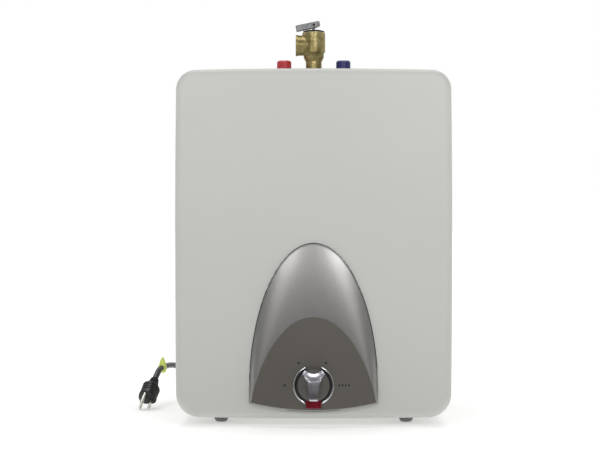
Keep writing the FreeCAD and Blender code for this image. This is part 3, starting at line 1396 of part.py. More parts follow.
def make_wires():
    """The wires from the terminal block to the controls, the element and the earthed flange."""
    start = (back_y - block_back - block_deep / 2).value
    level = gland_height.value
    x = gland_x.value
    tab_y = (control_y + control_sheet + thermostat_deep + 7).value
    tab_z = dial_z.value + 7.5
    leg = heater_pitch.value / 2
    leg_y = heater_y.value
    leg_z = (flange_low - element_tail).value
    box_y = cover_y.value
    top = (limit_low + limit_height).value
    side = thermostat_width.value / 4
    post = button_x.value
    inside = (works_back - wire_bend).value
    live = [(x - 10, start, level), (x - 10, start - 16, level), (x - 8, inside, 48)]
    live += [(x - 2, inside - 70, 42), (x + 22, inside - 130, 44), (-60, box_y + 8, 54)]
    live += [(-side, tab_y + 22, tab_z), (-side, tab_y, tab_z)]
    loop = [(side, tab_y, tab_z), (side, tab_y + 14, tab_z)]
    loop += [(post - 10, box_y, tab_z + 2), (post - 10, box_y, top)]
    feed = [(post + 10, box_y, top), (post + 10, box_y, top + 12), (post + 10, box_y + 50, 50)]
    feed += [(post - 8, -14, 42), (leg, leg_y, 42), (leg, leg_y, leg_z)]
    neutral = [(x, start, level), (x, start - 16, level), (x + 4, inside + 5, 48), (x + 30, 30, 42)]
    neutral += [(-54, leg_y, 40), (-leg, leg_y, 42), (-leg, leg_y, leg_z)]
    earth = [(x + 10, start, level), (x + 10, start - 16, level), (x + 14, inside + 5, 52)]
    earth += [(-84, 50, 50), (-48, 42, 52), (-21, 36.4, 56), (-21, 36.4, flange_low.value)]
    runs = {"live": live, "loop": loop, "feed": feed, "neutral": neutral}
    tubes = [tube_on(name + "_wire", bent_wire(name, run), wire_width.value) for name, run in runs.items()]
    sub_part(group("wire_set", *tubes), "inner_wires")
    sub_part(tube_on("earth_run", bent_wire("earth", earth), wire_width.value), "earth_wire")


def make_bulbs():
    """The thin tubes that carry the heat's pressure from the two bulbs in the tank to the controls."""
    body_back = (control_y + control_sheet + thermostat_deep).value
    box_y = cover_y.value
    top = (limit_low + limit_height).value
    x, y = pocket_x.value, pocket_y.value
    low = gasket_low.value
    first = [(-x + 8, body_back, 44), (-x + 8, body_back + 24, 44), (-x, -60, 46), (-x, y - 16, 46)]
    first += [(-x, y, 56), (-x, y, low)]
    second = [(button_x.value, box_y, top), (button_x.value, box_y, top + 9), (x + 9, -56, 48)]
    second += [(x, y - 14, 48), (x, y, 57), (x, y, low)]
    bulbs = []
    for name, side, points in (("thermostat_bulb", -1, first), ("limit_bulb", 1, second)):
        tube = tube_on(name + "_tube", bent_wire(name, points), wire_width.value - 0.4)
        bulb = rod(name + "_rod", bulb_width, bulb_length, side * pocket_x, pocket_y, gasket_low)
        bulbs.append(fuse(name + "_solid", tube, bulb))
    return sub_part(group("bulb_set", *bulbs), "sensor_bulbs")


def make_tie():
    """The yellow-green tie on the cord: a flat band round it with a pointed top."""
    half = tie_width / 2
    low = -tie_height * 0.35
    shoulder = tie_height * 0.35
    points = [(-half, low), (half, low), (half, shoulder), (0, tie_height * 0.65), (-half, shoulder)]
    band = pressed("tie_band", "XY_Plane", points, tie_length, both=True)
    hole = rod("tie_hole", cord_width + fit_gap * 2, tie_length * 2, 0, 0, -tie_length)
    start, end = V(*lead_points[7]), V(*lead_points[8])
    way = end - start
    turn = FreeCAD.Rotation(V(), Z_AXIS, way, "ZYX")
    spot = start * 0.7 + end * 0.3
    return sub_part(place(cut("tie_solid", band, hole), spot.x, spot.y, spot.z, turn), "cord_tie")


def plug_piece(thing, label):
    """Places a piece of the plug, built along +Z, at the end of the cord."""
    turn = FreeCAD.Rotation(V(-1, 0, -0.25), V(), plug_way, "ZXY")
    place(thing, plug_neck_at.x, plug_neck_at.y, plug_neck_at.z, turn)
    return sub_part(thing, label)


def make_plug():
    neck = taper("plug_neck", cord_width + 1.6, cord_width + 7, plug_neck, 0, 0, 0)
    body = box("plug_box", plug_width, plug_deep, plug_length, 0, -2, plug_neck)
    length = plug_length.value
    rounded = round_edges("plug_rounded", body, as_dim(5), lambda e: abs(e.Length - length) < 0.01)
    plug_piece(fuse("plug_solid", neck, rounded), "plug_body")
    face = plug_neck + plug_length
    blades = [box(f"blade{k}", blade_thick, blade_width, blade_length, side * blade_pitch / 2, 1.5, face)
              for k, side in enumerate((-1, 1))]
    earth = rod("earth_pin", earth_width, earth_length, 0, 1.5 - earth_offset, face)
    plug_piece(group("plug_pin_set", *blades, earth), "plug_pins")


make_front_shell()
make_rear_shell()
make_case_screws()
make_feet()
make_bumpers()
make_service_cover()
make_panel()
make_dial_face()
make_dial_ring()
make_lens()
make_lamp()
make_knob()
make_grip()
make_shaft()
make_control_plate()
make_control_screws()
make_thermostat()
make_limit_control()
make_reset_button()
make_tank()
make_flange()
make_element()
make_anode()
make_pockets()
make_fittings()
make_valve_body()
make_valve_cap()
make_valve_stem()
make_lever()
make_valve_spring()
make_probe()
make_foam()
make_bracket()
make_cord()
make_gland()
make_terminal_block()
make_wires()
make_bulbs()
make_tie()
make_plug()

doc.recompute()
failed = [thing.Name for thing in doc.Objects if {"Invalid", "Error"} & set(thing.State)]
if failed:
    raise SystemExit(f"these objects failed: {failed}")
for thing in parts:
    if thing.Shape.isNull() or not thing.Shape.isValid() or not thing.Shape.Solids:
        raise SystemExit(f"{thing.Label} has no valid shape")
os.makedirs("parts", exist_ok=True)
for thing in parts:
    thing.Shape.exportStep(f"parts/{thing.Label}.step")
    print(f"{thing.Label}: {len(thing.Shape.Solids)} solids, {thing.Shape.Volume:.0f} mm3")
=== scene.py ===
"""Looks of a small electric tank water heater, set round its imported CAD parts.

It adds the camera, the studio, the cord and the finishes, and the finely shaped pieces that
stand in for plainer solids. Pieces are drawn in millimetres; Blender and the frame take metres.
"""

import math

import bmesh
import bpy
from mathutils import Matrix, Vector


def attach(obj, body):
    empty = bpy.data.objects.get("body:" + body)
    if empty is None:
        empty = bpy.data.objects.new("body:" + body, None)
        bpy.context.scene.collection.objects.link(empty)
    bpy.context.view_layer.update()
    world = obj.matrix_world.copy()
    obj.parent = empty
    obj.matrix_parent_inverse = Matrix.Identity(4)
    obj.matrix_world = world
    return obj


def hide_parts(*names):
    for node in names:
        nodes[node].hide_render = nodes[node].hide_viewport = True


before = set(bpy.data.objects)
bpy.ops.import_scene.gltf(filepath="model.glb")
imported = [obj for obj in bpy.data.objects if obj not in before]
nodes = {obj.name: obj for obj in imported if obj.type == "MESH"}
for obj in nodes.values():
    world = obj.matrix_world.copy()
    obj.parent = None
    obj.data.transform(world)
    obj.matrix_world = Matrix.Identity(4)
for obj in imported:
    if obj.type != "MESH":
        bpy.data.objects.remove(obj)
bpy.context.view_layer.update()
scene = bpy.context.scene

# Front of the dial plate, and height of the knob's axis
plate_y = -183.3
dial_z = 53.1

# Most of a noise pattern's values lie between these two
noise_low, noise_high = 0.3, 0.7


def from_mm(*points):
    return [Vector(point) / 1000 for point in points]


def link_object(name, data):
    thing = bpy.data.objects.new(name, data)
    scene.collection.objects.link(thing)
    return thing


# Camera

camera_data = bpy.data.cameras.new("studio_camera")
camera_data.lens = 102.5
camera_data.sensor_width = 36
camera = link_object("studio_camera", camera_data)
camera.location = (0.003, -2.3125, 0.253)
camera.rotation_euler = (math.radians(90), 0, math.radians(0.535))
scene.camera = camera
scene.view_settings.view_transform = "Standard"


# Finishes


def srgb(red, green, blue):
    """A screen colour, 0 to 255 a channel, as the linear colour that shaders take."""
    line = [c / 255 for c in (red, green, blue)]
    line = [c / 12.92 if c <= 0.04045 else ((c + 0.055) / 1.055) ** 2.4 for c in line]
    return (*line, 1.0)


class Finish:
    """A surface finish: one shader, and the patterns that tint, roughen and emboss it."""

    def __init__(self, name, metal=0.0, **sockets):
        self.name = name
        self.material = bpy.data.materials.new(name)
        self.material.use_nodes = True
        self.tree = self.material.node_tree
        self.shader = self.tree.nodes["Principled BSDF"]
        self.shader.inputs["Metallic"].default_value = metal
        for socket, value in sockets.items():
            self.shader.inputs[socket.replace("_", " ")].default_value = value
        self.place = self.add("ShaderNodeTexCoord").outputs["Object"]
        self.height = None

    def add(self, kind, **inputs):
        node = self.tree.nodes.new(kind)
        for name, value in inputs.items():
            node.inputs[name.replace("_", " ")].default_value = value
        return node

    def wire(self, out, into):
        self.tree.links.new(out, into)

    def spread(self, stretch):
        """The piece's own coordinates, stretched for a pattern."""
        mapping = self.add("ShaderNodeMapping", Scale=stretch)
        self.wire(self.place, mapping.inputs["Vector"])
        return mapping.outputs["Vector"]

    def clouds(self, scale, detail=2.0, stretch=None, warp=0.0):
        noise = self.add("ShaderNodeTexNoise", Scale=scale, Detail=detail, Distortion=warp)
        self.wire(self.spread(stretch) if stretch else self.place, noise.inputs["Vector"])
        return noise.outputs["Fac"]

    def cells(self, scale, edge=False):
        voronoi = self.add("ShaderNodeTexVoronoi", Scale=scale)
        if edge:
            voronoi.feature = "DISTANCE_TO_EDGE"
        self.wire(self.place, voronoi.inputs["Vector"])
        return voronoi.outputs["Distance"]

    def between(self, value, low, high, to_low, to_high):
        """The value, moved from one range into another and kept within it."""
        ranged = self.add("ShaderNodeMapRange", From_Min=low, From_Max=high, To_Min=to_low,
                          To_Max=to_high)
        self.wire(value, ranged.inputs["Value"])
        return ranged.outputs["Result"]

    def tint(self, value, *stops):
        """Colours the surface by a pattern, through (place, colour) stops."""
        ramp = self.add("ShaderNodeValToRGB")
        band = ramp.color_ramp
        while len(band.elements) < len(stops):
            band.elements.new(0.5)
        for element, (spot, colour) in zip(band.elements, stops):
            element.position = spot
            element.color = colour
        self.wire(value, ramp.inputs["Fac"])
        self.wire(ramp.outputs["Color"], self.shader.inputs["Base Color"])

    def rough(self, value, low, high):
        ranged = self.between(value, noise_low, noise_high, low, high)
        self.wire(ranged, self.shader.inputs["Roughness"])

    def emboss(self, value, depth, strength=1.0):
        """Relief of a pattern, in metres; each call lies on the last."""
        bump = self.add("ShaderNodeBump", Strength=strength, Distance=depth)
        self.wire(value, bump.inputs["Height"])
        if self.height:
            self.wire(self.height, bump.inputs["Normal"])
        self.height = bump.outputs["Normal"]
        self.wire(self.height, self.shader.inputs["Normal"])


def two_tone(finish, value, colour, swing=0.06):
    """Tints by a pattern, between a shade a little darker and one a little lighter."""
    dark = (*[c * (1 - swing) for c in colour[:3]], 1)
    light = (*[min(1, c * (1 + swing)) for c in colour[:3]], 1)
    finish.tint(value, (0.32, dark), (0.68, light))


def plastic(name, colour, gloss=0.35, grain=700, depth=0.00002, swing=0.06, **sockets):
    """Moulded plastic: a faint drift of shade, and spark-eroded grain in gloss and relief."""
    finish = Finish(name, **sockets)
    two_tone(finish, finish.clouds(9, 3), colour, swing)
    finish.rough(finish.clouds(grain / 3, 2), gloss - 0.06, gloss + 0.08)
    finish.emboss(finish.clouds(grain, 3), depth)
    return finish


def metal(name, colour, gloss=0.3, grain=300, depth=0.00002, swing=0.1):
    """Bare or plated metal: stained by handling, with a fine or a cast grain."""
    finish = Finish(name, 1.0)
    two_tone(finish, finish.clouds(40, 5, warp=0.4), colour, swing)
    finish.rough(finish.clouds(grain / 2, 4), gloss - 0.08, gloss + 0.12)
    finish.emboss(finish.clouds(grain, 4), depth)
    return finish


def chrome_plate(name, colour, gloss):
    """Bright plating, nearly even: faint handling marks, and a trace of the moulding under it."""
    finish = Finish(name, 1.0)
    two_tone(finish, finish.clouds(60, 3), colour, 0.03)
    finish.rough(finish.clouds(90, 2), gloss - 0.015, gloss + 0.03)
    finish.emboss(finish.clouds(110, 1), 0.000004, 0.12)
    return finish


def case_gloss():
    """Warm-grey moulding with a silky gloss and the faint orange peel of a polished tool."""
    finish = Finish("case_gloss", Coat_Weight=0.1, Coat_Roughness=0.3)
    two_tone(finish, finish.clouds(3, 2), srgb(194, 195, 190), 0.02)
    finish.rough(finish.clouds(500, 2), 0.36, 0.44)
    finish.emboss(finish.clouds(240, 1), 0.00001, 0.25)
    return finish


def panel_silver():
    """Sprayed silver lacquer: metal flakes under a clear coat."""
    finish = Finish("panel_silver", 0.85, Coat_Weight=0.35, Coat_Roughness=0.15)
    flakes = finish.clouds(2600, 1)
    finish.tint(flakes, (0.3, srgb(150, 149, 147)), (0.7, srgb(186, 185, 183)))
    finish.rough(finish.clouds(1300, 2), 0.3, 0.42)
    finish.emboss(flakes, 0.00001, 0.6)
    return finish


def brass_casting():
    """Cast brass, dulled and slightly green, with a sandy skin."""
    finish = Finish("brass_casting", 1.0)
    patina = finish.clouds(110, 6, warp=0.8)
    finish.tint(patina, (0.3, srgb(136, 124, 80)), (0.5, srgb(168, 154, 106)),
                (0.7, srgb(194, 179, 134)))
    finish.rough(finish.clouds(260, 4), 0.32, 0.52)
    finish.emboss(finish.clouds(900, 3), 0.00006, 0.8)
    finish.emboss(finish.clouds(150, 3), 0.00012, 0.5)
    return finish


def zinc_spangle(name, colour, scale=90):
    """Zinc-coated sheet, with the flower pattern of its crystals."""
    finish = Finish(name, 0.9)
    flowers = finish.cells(scale)
    finish.tint(flowers, (0.1, (*[c * 0.8 for c in colour[:3]], 1)), (0.7, colour))
    finish.rough(finish.clouds(200, 3), 0.34, 0.5)
    finish.emboss(flowers, 0.00002, 0.4)
    return finish


def foam_skin():
    """Moulded foam: cream, browned in patches, with a skin of small cells."""
    finish = Finish("foam_skin", Roughness=0.85)
    finish.tint(finish.clouds(12, 6), (0.35, srgb(205, 186, 128)), (0.65, srgb(232, 219, 172)))
    finish.emboss(finish.cells(420, True), 0.0004, 0.7)
    finish.emboss(finish.clouds(30, 4), 0.0012, 0.5)
    return finish


def lever_steel():
    """Pressed zinc-plated steel, dulled, with dark specks where the plating has gone."""
    finish = Finish("lever_steel", 0.55)
    specks = finish.clouds(420, 4, warp=0.6)
    finish.tint(specks, (0.3, srgb(122, 122, 124)), (0.46, srgb(160, 160, 163)),
                (0.7, srgb(182, 182, 184)))
    finish.rough(finish.clouds(300, 4), 0.34, 0.5)
    finish.emboss(specks, 0.00004, 0.5)
    return finish


def rubber(name, colour):
    """Matt rubber, dusty in patches."""
    finish = Finish(name)
    two_tone(finish, finish.clouds(60, 5), colour, 0.18)
    finish.rough(finish.clouds(400, 3), 0.6, 0.8)
    finish.emboss(finish.clouds(1200, 2), 0.00005)
    return finish


def cord_skin(name, colour, gloss):
    """Extruded jacket: a fine grain, smudges of dust and a soft shine."""
    finish = Finish(name, Coat_Weight=0.5, Coat_Roughness=0.2)
    two_tone(finish, finish.clouds(70, 5, warp=0.5), colour, 0.3)
    finish.rough(finish.clouds(240, 4), gloss - 0.06, gloss + 0.14)
    finish.emboss(finish.clouds(900, 3), 0.00004)
    return finish


def lens_red():
    """Clear red moulding with a ribbed back that breaks up the light."""
    finish = Finish("lens_red", Transmission_Weight=0.1, IOR=1.49, Coat_Weight=0.3,
                    Coat_Roughness=0.06)
    ribs = finish.clouds(300, 1, stretch=(3.2, 0.2, 0.4))
    finish.tint(ribs, (0.3, srgb(70, 2, 18)), (0.7, srgb(142, 10, 38)))
    finish.rough(finish.clouds(500, 2), 0.12, 0.22)
    finish.emboss(ribs, 0.0002, 0.5)
    return finish


# Cord, first of the pieces, because its room is measured from the camera

cord_width = 0.0084
coil_middle = 237
lower_turn, upper_turn = 4.3, 13.2

# The tie holds the cord between two of its points, and the plug sits on its last one
tie_start, tie_end = (-211, 103, 53.3), (-215.5, 80.2, 51.6)
plug_spot = (-220.8, 56, 38)

way_in = [(-128, 211.5, 60), (-128, 240, 60), (-126, 268, 55), (-112.5, 294, 45.5),
          (-87, 311, 33), (-57, 312.5, 20.5), (-32.5, 296.5, 10.3), (-20, 271.9, lower_turn),
          (-20, 250, lower_turn)]
way_out = [(-83.1, 187.2, upper_turn), (-103.1, 187.2, upper_turn), (-136, 190.5, 20.5),
           (-165, 186.5, 33.5), (-187, 168.5, 44.5), (-197.5, 149.5, 50.5), (-205, 126.5, 53),
           tie_start, tie_end, (-218, 66.7, 46.6), plug_spot]


def coil_turns():
    """Points of two and a quarter turns, clockwise from above: one, and then the rest over it.

    They lie a little outside the cord's own line, because a spline runs inside its points.
    """
    ends = [-20, -119.55, -28.9, -110.65, -24.45]
    levels = [lower_turn, lower_turn, lower_turn, upper_turn, upper_turn]
    per_half, per_quarter = 8, 4
    last_radius = 49.775
    pull = 0.75 + 0.25 * math.cos(math.pi / per_half)
    points = []
    for k in range(4):
        middle = (ends[k] + ends[k + 1]) / 2
        radius = abs(ends[k + 1] - ends[k]) / 2 / pull
        for j in range(per_half):
            share = (j + 0.5) / per_half
            turn = -math.pi * (k + share)
            rise = share * share * (3 - 2 * share)
            points.append((middle + radius * math.cos(turn), coil_middle + radius * math.sin(turn),
                           levels[k] + (levels[k + 1] - levels[k]) * rise))
    middle, radius = ends[4] - last_radius, last_radius / pull
    for j in range(per_quarter):
        turn = -math.pi / 2 * (j + 0.5) / per_quarter
        points.append((middle + radius * math.cos(turn), coil_middle + radius * math.sin(turn),
                       levels[4]))
    return points


def lay_cord(finish):
    curve = bpy.data.curves.new("mains_cord", "CURVE")
    curve.dimensions = "3D"
    curve.bevel_depth = cord_width / 2
    curve.bevel_resolution = 5
    curve.resolution_u = 8
    points = from_mm(*way_in, *coil_turns(), *way_out)
    spline = curve.splines.new("NURBS")
    spline.points.add(len(points) - 1)
    for knot, point in zip(spline.points, points):
        knot.co = (*point, 1)
    spline.order_u = 3
    spline.use_endpoint_u = True
    curve.materials.append(finish)
    return link_object("mains_cord", curve)


# Studio


def surround():
    """White to the camera; the light that it gives is dimmer from behind the camera."""
    world = bpy.data.worlds.new("studio_surround")
    scene.world = world
    world.use_nodes = True
    tree = world.node_tree
    tree.nodes.clear()
    kinds = ("TexCoord", "SeparateXYZ", "MapRange", "LightPath", "Math", "Background",
             "OutputWorld")
    coords, parts, fade, path, seen, back, out = [tree.nodes.new("ShaderNode" + kind)
                                                  for kind in kinds]
    seen.operation = "MAXIMUM"
    for name, value in (("From Min", -0.9), ("From Max", 0.35), ("To Min", 0.14), ("To Max", 0.62)):
        fade.inputs[name].default_value = value
    back.inputs["Color"].default_value = (1, 1, 1, 1)
    tree.links.new(coords.outputs["Generated"], parts.inputs[0])
    tree.links.new(parts.outputs["Y"], fade.inputs["Value"])
    tree.links.new(fade.outputs["Result"], seen.inputs[0])
    tree.links.new(path.outputs["Is Camera Ray"], seen.inputs[1])
    tree.links.new(seen.outputs[0], back.inputs["Strength"])
    tree.links.new(back.outputs[0], out.inputs["Surface"])


def flat_sheet(name, left, right, front, back, level):
    """A level sheet between four sides, in metres."""
    mesh = bpy.data.meshes.new(name)
    corners = [(left, front, level), (right, front, level), (right, back, level),
               (left, back, level)]
    mesh.from_pydata(corners, [], [(0, 1, 2, 3)])
    return link_object(name, mesh)


def paper_floor():
    """White paper that glows a little more with distance, so that no horizon shows."""
    reach = 60
    floor = flat_sheet("studio_floor", -reach, reach, -reach, reach, 0)
    paper = Finish("floor_paper", Roughness=0.9, Emission_Color=(1, 1, 1, 1))
    two_tone(paper, paper.clouds(4, 3), srgb(246, 246, 245), 0.01)
    away = paper.add("ShaderNodeVectorMath")
    away.operation = "LENGTH"
    paper.wire(paper.place, away.inputs[0])
    glow = paper.between(away.outputs["Value"], 0.7, 3, 0.34, 0.85)
    paper.wire(glow, paper.shader.inputs["Emission Strength"])
    floor.data.materials.append(paper.material)


def reflected_card():
    """A dark card on the floor before the object, which shows in its reflections alone."""
    card = flat_sheet("dark_card", -6, 6, -8, -0.25, 0.004)
    felt = Finish("card_felt", Roughness=0.95)
    two_tone(felt, felt.clouds(6, 3), srgb(70, 68, 66), 0.05)
    card.data.materials.append(felt.material)
    card.visible_camera = False
    card.visible_shadow = False
    card.visible_diffuse = False


def softboxes():
    """Two soft boxes before the object and one above it, all aimed at its middle."""
    aim = Vector((0, 0, 0.24))
    boxes = [("right_softbox", (0.64, -2.05, 0.95), 7.6, 0.55, 0.5),
             ("left_softbox", (-0.64, -2.05, 0.95), 5.6, 0.55, 0.5),
             ("top_softbox", (0, 0.1, 2.4), 26, 2.2, 1.8)]
    for name, place, watts, wide, tall in boxes:
        light = bpy.data.lights.new(name, "AREA")
        light.shape = "RECTANGLE"
        light.size, light.size_y = wide, tall
        light.energy = watts
        lamp = link_object(name, light)
        lamp.location = place
        lamp.rotation_euler = (aim - lamp.location).to_track_quat("-Z", "Y").to_euler()
        lamp.visible_camera = False


# Making


def skin(name, rings, joined=False):
    """A skin over rings of points in millimetres, closed at both ends or joined into a hoop."""
    form = bmesh.new()
    rows = [[form.verts.new(Vector(point) / 1000) for point in ring] for ring in rings]
    pairs = list(zip(rows, rows[1:]))
    if joined:
        pairs.append((rows[-1], rows[0]))
    for near, far in pairs:
        for k in range(len(near)):
            form.faces.new((near[k - 1], near[k], far[k], far[k - 1]))
    if not joined:
        form.faces.new(rows[0])
        form.faces.new(rows[-1])
    return closed_form(name, form)


def slab(name, top, base):
    """A solid between two grids of points, one over the other, walled in round their edges."""
    form = bmesh.new()
    sides = []
    for grid in (top, base):
        rows = [[form.verts.new(Vector(point) / 1000) for point in row] for row in grid]
        for near, far in zip(rows, rows[1:]):
            for k in range(len(near) - 1):
                form.faces.new((near[k], near[k + 1], far[k + 1], far[k]))
        edge = rows[0] + [row[-1] for row in rows[1:-1]]
        edge += rows[-1][::-1] + [row[0] for row in rows[-2:0:-1]]
        sides.append(edge)
    over, under = sides
    for k in range(len(over)):
        form.faces.new((over[k - 1], over[k], under[k], under[k - 1]))
    return closed_form(name, form)


def merged(name, *meshes):
    """Several meshes as one."""
    form = bmesh.new()
    for mesh in meshes:
        form.from_mesh(mesh)
    return closed_form(name, form)


def closed_form(name, form):
    """The mesh of a finished form, with its faces turned outwards."""
    bmesh.ops.recalc_face_normals(form, faces=form.faces)
    mesh = bpy.data.meshes.new(name)
    form.to_mesh(mesh)
    form.free()
    return mesh


def soft_edges(mesh, width, angle):
    """Rounds every edge that turns by more than an angle; the width is in millimetres."""
    form = bmesh.new()
    form.from_mesh(mesh)
    limit = math.radians(angle)
    sharp = [e for e in form.edges if len(e.link_faces) == 2 and e.calc_face_angle() > limit]
    bmesh.ops.bevel(form, geom=sharp, offset=width / 1000, segments=2, profile=0.5,
                    affect="EDGES", clamp_overlap=True)
    form.to_mesh(mesh)
    form.free()
    return mesh


def turns(steps):
    """Angles that share out one full turn."""
    return [2 * math.pi * k / steps for k in range(steps)]


def ring_at(middle, radius, across, up, steps=64):
    """A ring of points about a middle, in the plane of two directions."""
    middle, across, up = Vector(middle), Vector(across), Vector(up)
    return [middle + (across * math.cos(t) + up * math.sin(t)) * radius for t in turns(steps)]


def lathed(name, profile):
    """A lathe-turned piece of the dial, from (radius, height above the dial plate) corners."""
    return skin(name, [ring_at((0, plate_y - high, dial_z), radius, (1, 0, 0), (0, 0, 1))
                       for radius, high in profile])


def blunt(turn, power):
    """The point of a rounded square at an angle; the smaller the power, the squarer."""
    return [math.copysign(abs(part) ** power, part) for part in (math.cos(turn), math.sin(turn))]


def fit(name, mesh, finish, body="heater", stands_for=(), crease=35):
    """Hangs a finished mesh on its body, in place of the CAD nodes that it stands for."""
    mesh.shade_smooth()
    mesh.set_sharp_from_angle(angle=math.radians(crease))
    mesh.materials.clear()
    mesh.materials.append(finishes[finish].material)
    thing = link_object(name, mesh)
    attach(thing, body)
    if stands_for:
        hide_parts(*stands_for)
    return thing


class Recipe:
    """A geometry-nodes tree with named sizes, in metres.

    It is run once on a base mesh, and its result is kept as a plain mesh.
    """

    def __init__(self, name, **sizes):
        self.tree = bpy.data.node_groups.new(name, "GeometryNodeTree")
        face = self.tree.interface
        face.new_socket("Base", in_out="INPUT", socket_type="NodeSocketGeometry")
        face.new_socket("Result", in_out="OUTPUT", socket_type="NodeSocketGeometry")
        self.sizes = {}
        for label, value in sizes.items():
            kind = "NodeSocketInt" if isinstance(value, int) else "NodeSocketFloat"
            socket = face.new_socket(label.replace("_", " "), in_out="INPUT", socket_type=kind)
            self.sizes[socket.identifier] = value
        self.given = self.tree.nodes.new("NodeGroupInput")
        self.base = self.given.outputs["Base"]
        self.result = self.tree.nodes.new("NodeGroupOutput")

    def size(self, label):
        return self.given.outputs[label.replace("_", " ")]

    def half(self, label):
        return self.calc("MULTIPLY", self.size(label), 0.5)

    def add(self, kind, inputs, **settings):
        """A node with its inputs given by name or place, each a value or another's socket."""
        node = self.tree.nodes.new(kind)
        for label, value in settings.items():
            setattr(node, label, value)
        for label, value in inputs.items():
            if isinstance(value, bpy.types.NodeSocket):
                self.tree.links.new(value, node.inputs[label])
            else:
                node.inputs[label].default_value = value
        return node.outputs[0]

    def calc(self, operation, *values):
        return self.add("ShaderNodeMath", dict(enumerate(values)), operation=operation)

    def point(self, **axes):
        """A point, size or turn from its X, Y and Z; what isn't given is 0."""
        return self.add("ShaderNodeCombineXYZ", axes)

    def rod(self, vertices, width, depth):
        """An upright cylinder, as wide as a named size."""
        return self.add("GeometryNodeMeshCylinder",
                        {"Vertices": vertices, "Radius": self.half(width), "Depth": depth})

    def swept(self, path, radius, scale=1.0, steps=24):
        """A round bar along a path, its radius times a scale that may change along it."""
        profile = self.add("GeometryNodeCurvePrimitiveCircle",
                           {"Resolution": steps, "Radius": radius})
        return self.add("GeometryNodeCurveToMesh", {"Curve": path, "Profile Curve": profile,
                                                    "Scale": scale, "Fill Caps": True})

    def joined(self, *shapes):
        node = self.tree.nodes.new("GeometryNodeJoinGeometry")
        for shape in shapes:
            self.tree.links.new(shape, node.inputs[0])
        return node.outputs[0]

    def made(self, name, shape, finish, base=None):
        """Runs the tree on the base mesh, and returns what it makes as a plain mesh."""
        real = self.add("GeometryNodeRealizeInstances", {0: shape})
        painted = self.add("GeometryNodeSetMaterial",
                           {0: real, "Material": finishes[finish].material})
        self.tree.links.new(painted, self.result.inputs[0])
        thing = link_object(name, base or bpy.data.meshes.new(name))
        modifier = thing.modifiers.new(name, "NODES")
        modifier.node_group = self.tree
        for identifier, value in self.sizes.items():
            modifier[identifier] = value
        bpy.context.view_layer.update()
        evaluated = thing.evaluated_get(bpy.context.evaluated_depsgraph_get())
        mesh = bpy.data.meshes.new_from_object(evaluated)
        thing.modifiers.remove(modifier)
        bpy.data.objects.remove(thing)
        return mesh


def base_of(name, points, edges=(), facing=None):
    """A base mesh for a recipe: points in millimetres, their edges and the way they face."""
    mesh = bpy.data.meshes.new(name)
    mesh.from_pydata(from_mm(*points), edges, [])
    if facing:
        ways = mesh.attributes.new("facing", "FLOAT_VECTOR", "POINT")
        for way in ways.data:
            way.vector = facing
    return mesh


# Fasteners, sleeves and lines, by recipe


def screw_cap(recipe):
    """A domed screw head over the origin, with a cross recess cut into it."""
    spine = recipe.point(Z=recipe.size("head_height"))
    line = recipe.add("GeometryNodeCurvePrimitiveLine", {"End": spine})
    line = recipe.add("GeometryNodeResampleCurve", {"Curve": line, "Count": 10})
    share = recipe.add("GeometryNodeSplineParameter", {})
    fall = recipe.calc("MULTIPLY", recipe.calc("POWER", share, 3.0), 0.78)
    dome = recipe.calc("SQRT", recipe.calc("SUBTRACT", 1.0, fall))
    cap = recipe.swept(line, recipe.half("head_width"), dome, 40)
    wide, long = recipe.size("recess_width"), recipe.size("recess_length")
    deep = recipe.calc("MULTIPLY", recipe.size("recess_depth"), 2.0)
    bars = []
    for across, along in ((wide, long), (long, wide)):
        bar = recipe.add("GeometryNodeMeshCube", {"Size": recipe.point(X=across, Y=along, Z=deep)})
        bars.append(recipe.add("GeometryNodeTransform", {0: bar, "Translation": spine}))
    return recipe.add("GeometryNodeMeshBoolean",
                      {"Mesh 1": cap, "Mesh 2": recipe.joined(*bars), "Self Intersection": True},
                      solver="EXACT", operation="DIFFERENCE")


def screw_shank(recipe):
    """The plain shank below the head."""
    length = recipe.size("shank_length")
    sunk = recipe.point(Z=recipe.calc("MULTIPLY", length, -0.5))
    return recipe.add("GeometryNodeTransform",
                      {0: recipe.rod(24, "shank_width", length), "Translation": sunk})


def cross_screws(name, spots, facing, node, head=8.0, shank=4.0, length=10.0):
    """Pan-head screws, one at each spot, each stopped at its own turn."""
    recipe = Recipe("cross_screw_recipe", head_width=head / 1000, head_height=0.0022,
                    shank_width=shank / 1000, shank_length=length / 1000, recess_width=0.0011,
                    recess_length=0.0046, recess_depth=0.0015, seed=7)
    screw = recipe.joined(screw_cap(recipe), screw_shank(recipe))
    way = recipe.add("GeometryNodeInputNamedAttribute", {"Name": "facing"},
                     data_type="FLOAT_VECTOR")
    upright = recipe.add("FunctionNodeAlignRotationToVector", {"Vector": way}, axis="Z")
    placed = recipe.add("GeometryNodeInstanceOnPoints",
                        {"Points": recipe.base, "Instance": screw, "Rotation": upright})
    # Where the random node deals in single numbers, input 3 is the highest and output 1 the result
    stop = recipe.tree.nodes.new("FunctionNodeRandomValue")
    stop.data_type = "FLOAT"
    stop.inputs[3].default_value = math.pi
    recipe.tree.links.new(recipe.size("seed"), stop.inputs["Seed"])
    spin = recipe.point(Z=stop.outputs[1])
    placed = recipe.add("GeometryNodeRotateInstances",
                        {"Instances": placed, "Rotation": spin, "Local Space": True})
    base = base_of(name + "_spots", spots, facing=facing)
    mesh = recipe.made(name, placed, "zinc_steel", base)
    fit(name, mesh, "zinc_steel", stands_for=[node])


